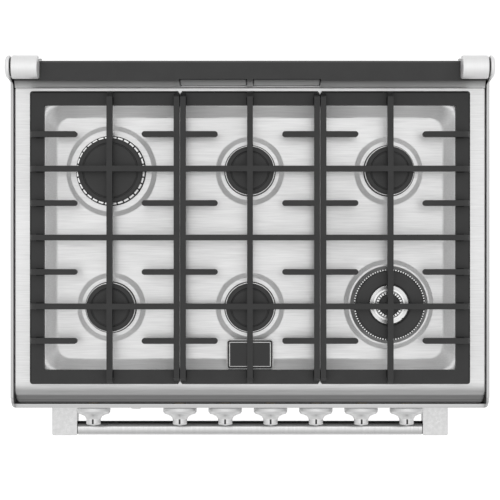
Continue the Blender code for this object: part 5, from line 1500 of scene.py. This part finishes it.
# ---- Backguard
# A low folded steel guard with a leaning front, spot welded to the cabinet. Two wide slots with
# round lower corners let the oven's flue breathe, each with a plate close behind it. The front
# is tinted darker towards its top, as if it reflected a dark room.
low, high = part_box("backguard")
guard_steel = sheet_material("backguard_steel", grey(0.80), grey(0.92), 0.46, 0.60, 0.00003)
tree = guard_steel.node_tree
tree.nodes["Principled BSDF"].inputs["Metallic"].default_value = 0.15
axes = tree.nodes.new("ShaderNodeSeparateXYZ")
tree.links.new(stretched_position(tree, (1, 1, 1)), axes.inputs["Vector"])
# Painted reflection: the guard's colour darkens towards its top for a dark room it would reflect.
painted_reflection_rise = spread(tree, axes.outputs["Z"], low.z, high.z, 0, 1)
tint(guard_steel, blend_colours(tree, painted_reflection_rise, (1.0, 1.0, 1.0), (0.12, 0.12, 0.12)))
cap_low, cap_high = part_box("backguard_cap")
foot, deck, guard_x = low.z, cap_low.z - 0.0002, high.x
front_foot, rear = low.y, high.y
front_top = front_foot + 0.0091 * (deck - foot) / (cap_high.z - foot)
WALL = 0.0015
outer = [(front_foot, foot), (front_top, deck), (rear, deck), (rear, foot)]
inner = [(front_foot + WALL, foot - 0.01), (front_foot + WALL, foot), (front_top + WALL, deck - WALL)]
inner += [(rear - WALL, deck - WALL), (rear - WALL, foot - 0.01)]
guard = make_piece("backguard_folded", plate(outer, (-guard_x, guard_x)), guard_steel)
cut_away(guard, make_piece("tool", plate(inner, (-guard_x + WALL, guard_x - WALL)), guard_steel, False))
SLOT = (0.0057, 0.1330)
SLOT_FOOT, SLOT_BACK, SLOT_CORNER = 0.922, front_top + 0.0030, 0.0065


def slot_tool(side, grow=0.0):
    """A slot's opening as a block through the guard's front: square above, round below."""
    x0, x1 = SLOT[0] - grow, SLOT[1] + grow
    z0, z1 = SLOT_FOOT - grow, cap_high.z + 0.01
    outline = [(x0, z1), (x0, z0 + 0.00001, SLOT_CORNER), (x1, z0 + 0.00001, SLOT_CORNER), (x1, z1)]
    outline = [(side * x, z) for x, z in soften(outline, 6)]
    return make_piece("tool", plate(outline, (front_foot - 0.01, SLOT_BACK), "Y"), guard_steel, False)


lip_low = cap_high.y + 0.0002
lip = plate(
    [(lip_low, deck - 0.0005), (rear, deck - 0.0005), (rear, cap_high.z), (lip_low, cap_high.z)],
    (-guard_x, guard_x)
)
weld_on(guard, make_piece("tool", lip, guard_steel, False))
END_AXIS_Y, END_AXIS_Z, END_R, END_X = 0.3456, 0.9790, 0.0219, 0.3946
for side in (-1, 1):
    cut_away(guard, slot_tool(side))
    saddle = [(0, -0.001), (END_R + 0.0009, -0.001), (END_R + 0.0009, 0.10), (0, 0.10)]
    base = (side * END_X, END_AXIS_Y, END_AXIS_Z)
    cut_away(guard, make_piece("tool", lathe(saddle, base, (side, 0, 0), 48), guard_steel, False))
BAFFLE_SET, BAFFLE_GAP, BAFFLE_SHEET = 0.0020, 0.0019, 0.0008
for name, side in (("left", -1), ("right", 1)):
    x0, x1 = SLOT[0] + BAFFLE_GAP, SLOT[1] - BAFFLE_GAP
    z0, z1 = SLOT_FOOT + BAFFLE_GAP, deck - 0.003
    outline = soften([(x0, z1), (x0, z0, SLOT_CORNER), (x1, z0, SLOT_CORNER), (x1, z1)], 6)
    outline = [(side * x, z) for x, z in outline]
    bm = plate(outline, (front_foot + BAFFLE_SET, front_foot + BAFFLE_SET + BAFFLE_SHEET), "Y")
    for vert in bm.verts:
        vert.co.y += (front_top - front_foot) * (vert.co.z - foot) / (deck - foot)
    baffle = make_piece(f"vent_baffle_{name}", bm, guard_steel, False)
    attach(baffle, "cabinet")
END_TAPER = 0.0062
for vert in guard.data.vertices:
    if abs(vert.co.x) > 0.40:
        vert.co.x -= math.copysign(END_TAPER * (vert.co.z - foot) / (cap_high.z - foot), vert.co.x)
round_edges(guard, 0.0005, 2)
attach(guard, "cabinet")
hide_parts("backguard")


# ---- Backguard cap
# A black enamelled strip let into the top of the guard. It is notched over the slots and cut
# round the end pieces.
cap_black = enamel_material("backguard_cap_enamel", grey(0.020), grey(0.029), 0.40, 0.52, 0.00003)
corners = oblong((-guard_x + END_TAPER, guard_x - END_TAPER), (cap_low.y, cap_high.y))
strip = make_piece("backguard_cap_strip", plate(corners, (cap_low.z, cap_high.z), "Z"), cap_black)
for side in (-1, 1):
    cut_away(strip, slot_tool(side))
    saddle = [(0, -0.001), (END_R + 0.0009, -0.001), (END_R + 0.0009, 0.10), (0, 0.10)]
    base = (side * END_X, END_AXIS_Y, END_AXIS_Z)
    cut_away(strip, make_piece("tool", lathe(saddle, base, (side, 0, 0), 48), cap_black, False))
round_edges(strip, 0.0006, 2)
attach(strip, "cabinet")
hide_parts("backguard_cap")


# ---- Backguard end pieces
# Solid steel turned along X: a cylinder, a groove with a painted-shade black neck and a domed
# disc, held by a small lug behind. They close the ends of the guard over the side panels.
end_steel = ground_material(
    "end_piece_steel", (5, 2600, 1), grey(0.90), grey(0.97), 0.34, 0.44, 0.000003, "UV"
)
end_steel.node_tree.nodes["Principled BSDF"].inputs["Metallic"].default_value = 0.5
groove_shade_black = pebbled_material("end_groove_painted_shade", grey(0.006), grey(0.012), 0.4, 0.5, 900, 0.00001)
for name, side in (("left", -1), ("right", 1)):
    node = "backguard_end_" + name
    base = (side * END_X, END_AXIS_Y, END_AXIS_Z)
    body_end, groove_end, tip = 0.0490, 0.0519, 0.0624
    body = [(0, 0), (END_R - 0.001, 0), (END_R, 0.001, 0.0006), (END_R, body_end - 0.0012, 0.0008)]
    body += [(END_R - 0.0014, body_end), (0, body_end)]
    disc = [(0, groove_end), (END_R - 0.0016, groove_end), (END_R, groove_end + 0.0012, 0.001)]
    disc += [
        (END_R, tip - 0.0056, 0.003), (END_R * 0.82, tip - 0.0024, 0.006),
        (END_R * 0.45, tip - 0.0006, 0.008), (0, tip)
    ]
    neck = [
        (0, body_end - 0.001), (0.0175, body_end - 0.001), (0.0175, groove_end + 0.001),
        (0, groove_end + 0.001)
    ]
    solid = make_piece(node + "_turned", lathe(soften(body, 5), base, (side, 0, 0), 96), end_steel)
    dome = make_piece(node + "_disc", lathe(soften(disc, 6), base, (side, 0, 0), 96), end_steel)
    # The neck in the groove is near-black: painted shade.
    ring = make_piece(node + "_groove", lathe(neck, base, (side, 0, 0), 64), groove_shade_black)
    span = sorted((side * (END_X - 0.005), side * (END_X + 0.002)))
    lug_y = (rear + 0.0003, rear + 0.0030)
    corners = [(lug_y[0], END_AXIS_Z - 0.015), (lug_y[1], END_AXIS_Z - 0.015)]
    corners += [(lug_y[1], END_AXIS_Z + 0.002), (lug_y[0], END_AXIS_Z + 0.002)]
    lug = round_edges(make_piece(node + "_lug", plate(corners, span), end_steel), 0.0004, 2)
    for part in (solid, dome, ring, lug):
        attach(part, "cabinet")
    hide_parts(node)

# ---- Oven door
# A folded stainless skin over an enamelled steel liner, with a tinted window of two panes. The
# skin is brushed from side to side and its edges are rolled over.
dress("door_skin", front_steel)
dress("door_liner", oven_enamel)
tinted, shader = new_material("tinted_glass", (0.05, 0.055, 0.06), 0.06)
shader.inputs["Transmission Weight"].default_value = 0.9
tree = tinted.node_tree
smear = noise(tree, stretched_position(tree, (1, 1, 1)), 18.0, 4.0, 0.6)
tree.links.new(spread(tree, smear, 0.35, 0.7, 0.03, 0.12), shader.inputs["Roughness"])
dress("door_glass_outer", tinted)
dress("door_glass_inner", tinted)


# ---- Door hinges
# Forged steel forks set in the foot of the door, each with a pin through the lug of the frame.
forged = pebbled_material("forged_steel", grey(0.20), grey(0.34), 0.40, 0.55, 500, 0.00004, 1.0)
dress("door_hinge_left", forged)
dress("door_hinge_right", forged)


# ---- Door handle
# A thick steel tube, turned and satin polished, held between two solid brackets with square edges
# that are screwed to the door from inside. BAR_SHADES tints it for the dark things it would reflect.
bar_steel = ground_material(
    "handle_bar_steel", (5, 1900, 1), grey(0.74), grey(0.86), 0.18, 0.26, 0.000004, "UV"
)
BAR_SHADES = (
    (0.0, 1.0), (1.0, 1.0), (0.170, 1.0), (0.200, 0.04), (0.372, 0.04), (0.390, 0.42), (0.440, 0.52),
    (0.452, 1.0), (0.490, 1.0), (0.500, 0.80), (0.510, 0.94), (0.620, 0.94), (0.655, 0.72), (0.72, 0.90),
)
tree = bar_steel.node_tree
around = tree.nodes.new("ShaderNodeTexCoord")
turn = tree.nodes.new("ShaderNodeSeparateXYZ")
tree.links.new(around.outputs["UV"], turn.inputs["Vector"])
tint(bar_steel, shade_ramp(tree, turn.outputs["X"], BAR_SHADES))
bracket_steel = ground_material("bracket_steel", (900, 900, 6), grey(0.60), grey(0.74), 0.24, 0.36)
low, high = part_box("handle_bar")
radius = (high.z - low.z) / 2
centre = (low + high) / 2
length = high.x - low.x
tube = [(0, 0), (radius - 0.0008, 0), (radius, 0.0008, 0.0005)]
tube += [(radius, length * k / 12) for k in range(1, 12)]
tube += [(radius, length - 0.0008, 0.0005), (radius - 0.0008, length), (0, length)]
bar = make_piece(
    "handle_bar_turned", lathe(soften(tube, 3), (low.x, centre.y, centre.z), (1, 0, 0), 96), bar_steel
)
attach(bar, "door")
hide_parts("handle_bar")
for side in ("left", "right"):
    node = "handle_bracket_" + side
    low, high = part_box(node)
    outline = [
        (low.x, high.y), (low.x, low.y, 0.0035), (high.x, low.y, 0.0035), (high.x, high.y),
        (low.x, high.y)
    ]
    outline = soften(outline, 5)[:-1]
    block_piece = make_piece(node + "_milled", plate(outline, (low.z, high.z), "Z"), bracket_steel)
    round_edges(block_piece, 0.0009, 3, 40)
    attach(block_piece, "door")
    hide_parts(node)

# ---- Studio
# The range stands on a white sweep under a wide soft ceiling light. The walls grow darker from
# the ceiling to the floor and towards the front, so that edges and rounds keep their shape.
scene = bpy.context.scene
scene.view_settings.view_transform = "Standard"
world = bpy.data.worlds.new("studio")
scene.world = world
world.use_nodes = True
tree = world.node_tree
background = tree.nodes["Background"]
direction = tree.nodes.new("ShaderNodeTexCoord")
axes = tree.nodes.new("ShaderNodeSeparateXYZ")
tree.links.new(direction.outputs["Generated"], axes.inputs["Vector"])
HEIGHT_SHADES = (
    (0.0, 0.40), (1.0, 1.14), (0.50, 0.72), (0.59, 0.80), (0.75, 0.86), (0.86, 0.90), (0.93, 0.98)
)
FACING_SHADES = ((0.0, 0.74), (1.0, 0.92), (0.22, 0.86), (0.45, 1.0), (0.75, 1.0))
height = shade_ramp(tree, spread(tree, axes.outputs["Z"], -1, 1, 0, 1), HEIGHT_SHADES)
facing = shade_ramp(tree, spread(tree, axes.outputs["Y"], -1, 1, 0, 1), FACING_SHADES)
light = multiply(tree, height, facing)
path = tree.nodes.new("ShaderNodeLightPath")
backdrop = tree.nodes.new("ShaderNodeMix")
backdrop.data_type = "RGBA"
tree.links.new(path.outputs["Is Camera Ray"], backdrop.inputs["Factor"])
tree.links.new(light, backdrop.inputs[MIX_FIRST])
backdrop.inputs[MIX_SECOND].default_value = grey(0.86)
tree.links.new(backdrop.outputs[MIXED], background.inputs["Color"])
background.inputs["Strength"].default_value = 1.0

floor_white, shader = new_material("studio_floor", (0.92, 0.92, 0.92), 0.9)
shader.inputs["Emission Color"].default_value = grey(1.0)
tree = floor_white.node_tree
path = tree.nodes.new("ShaderNodeLightPath")
tree.links.new(
    spread(tree, path.outputs["Is Camera Ray"], 0, 1, 0.0, 0.60), shader.inputs["Emission Strength"]
)
bm = bmesh.new()
FLOOR = 6.0
corners = [(-FLOOR, -FLOOR), (FLOOR, -FLOOR), (FLOOR, FLOOR), (-FLOOR, FLOOR)]
bm.faces.new([bm.verts.new((x, y, cad_low.z - 0.0002)) for x, y in corners])
floor = make_piece("studio_sweep", bm, floor_white, False)

FOCAL_MM, SENSOR_MM = 109.5, 36.0
CAMERA_PLACE = (0, 0.0045, 3.814)
lens = bpy.data.cameras.new("camera")
lens.lens = FOCAL_MM
lens.sensor_width = SENSOR_MM
camera = bpy.data.objects.new("camera", lens)
camera.location = CAMERA_PLACE
scene.collection.objects.link(camera)
scene.camera = camera
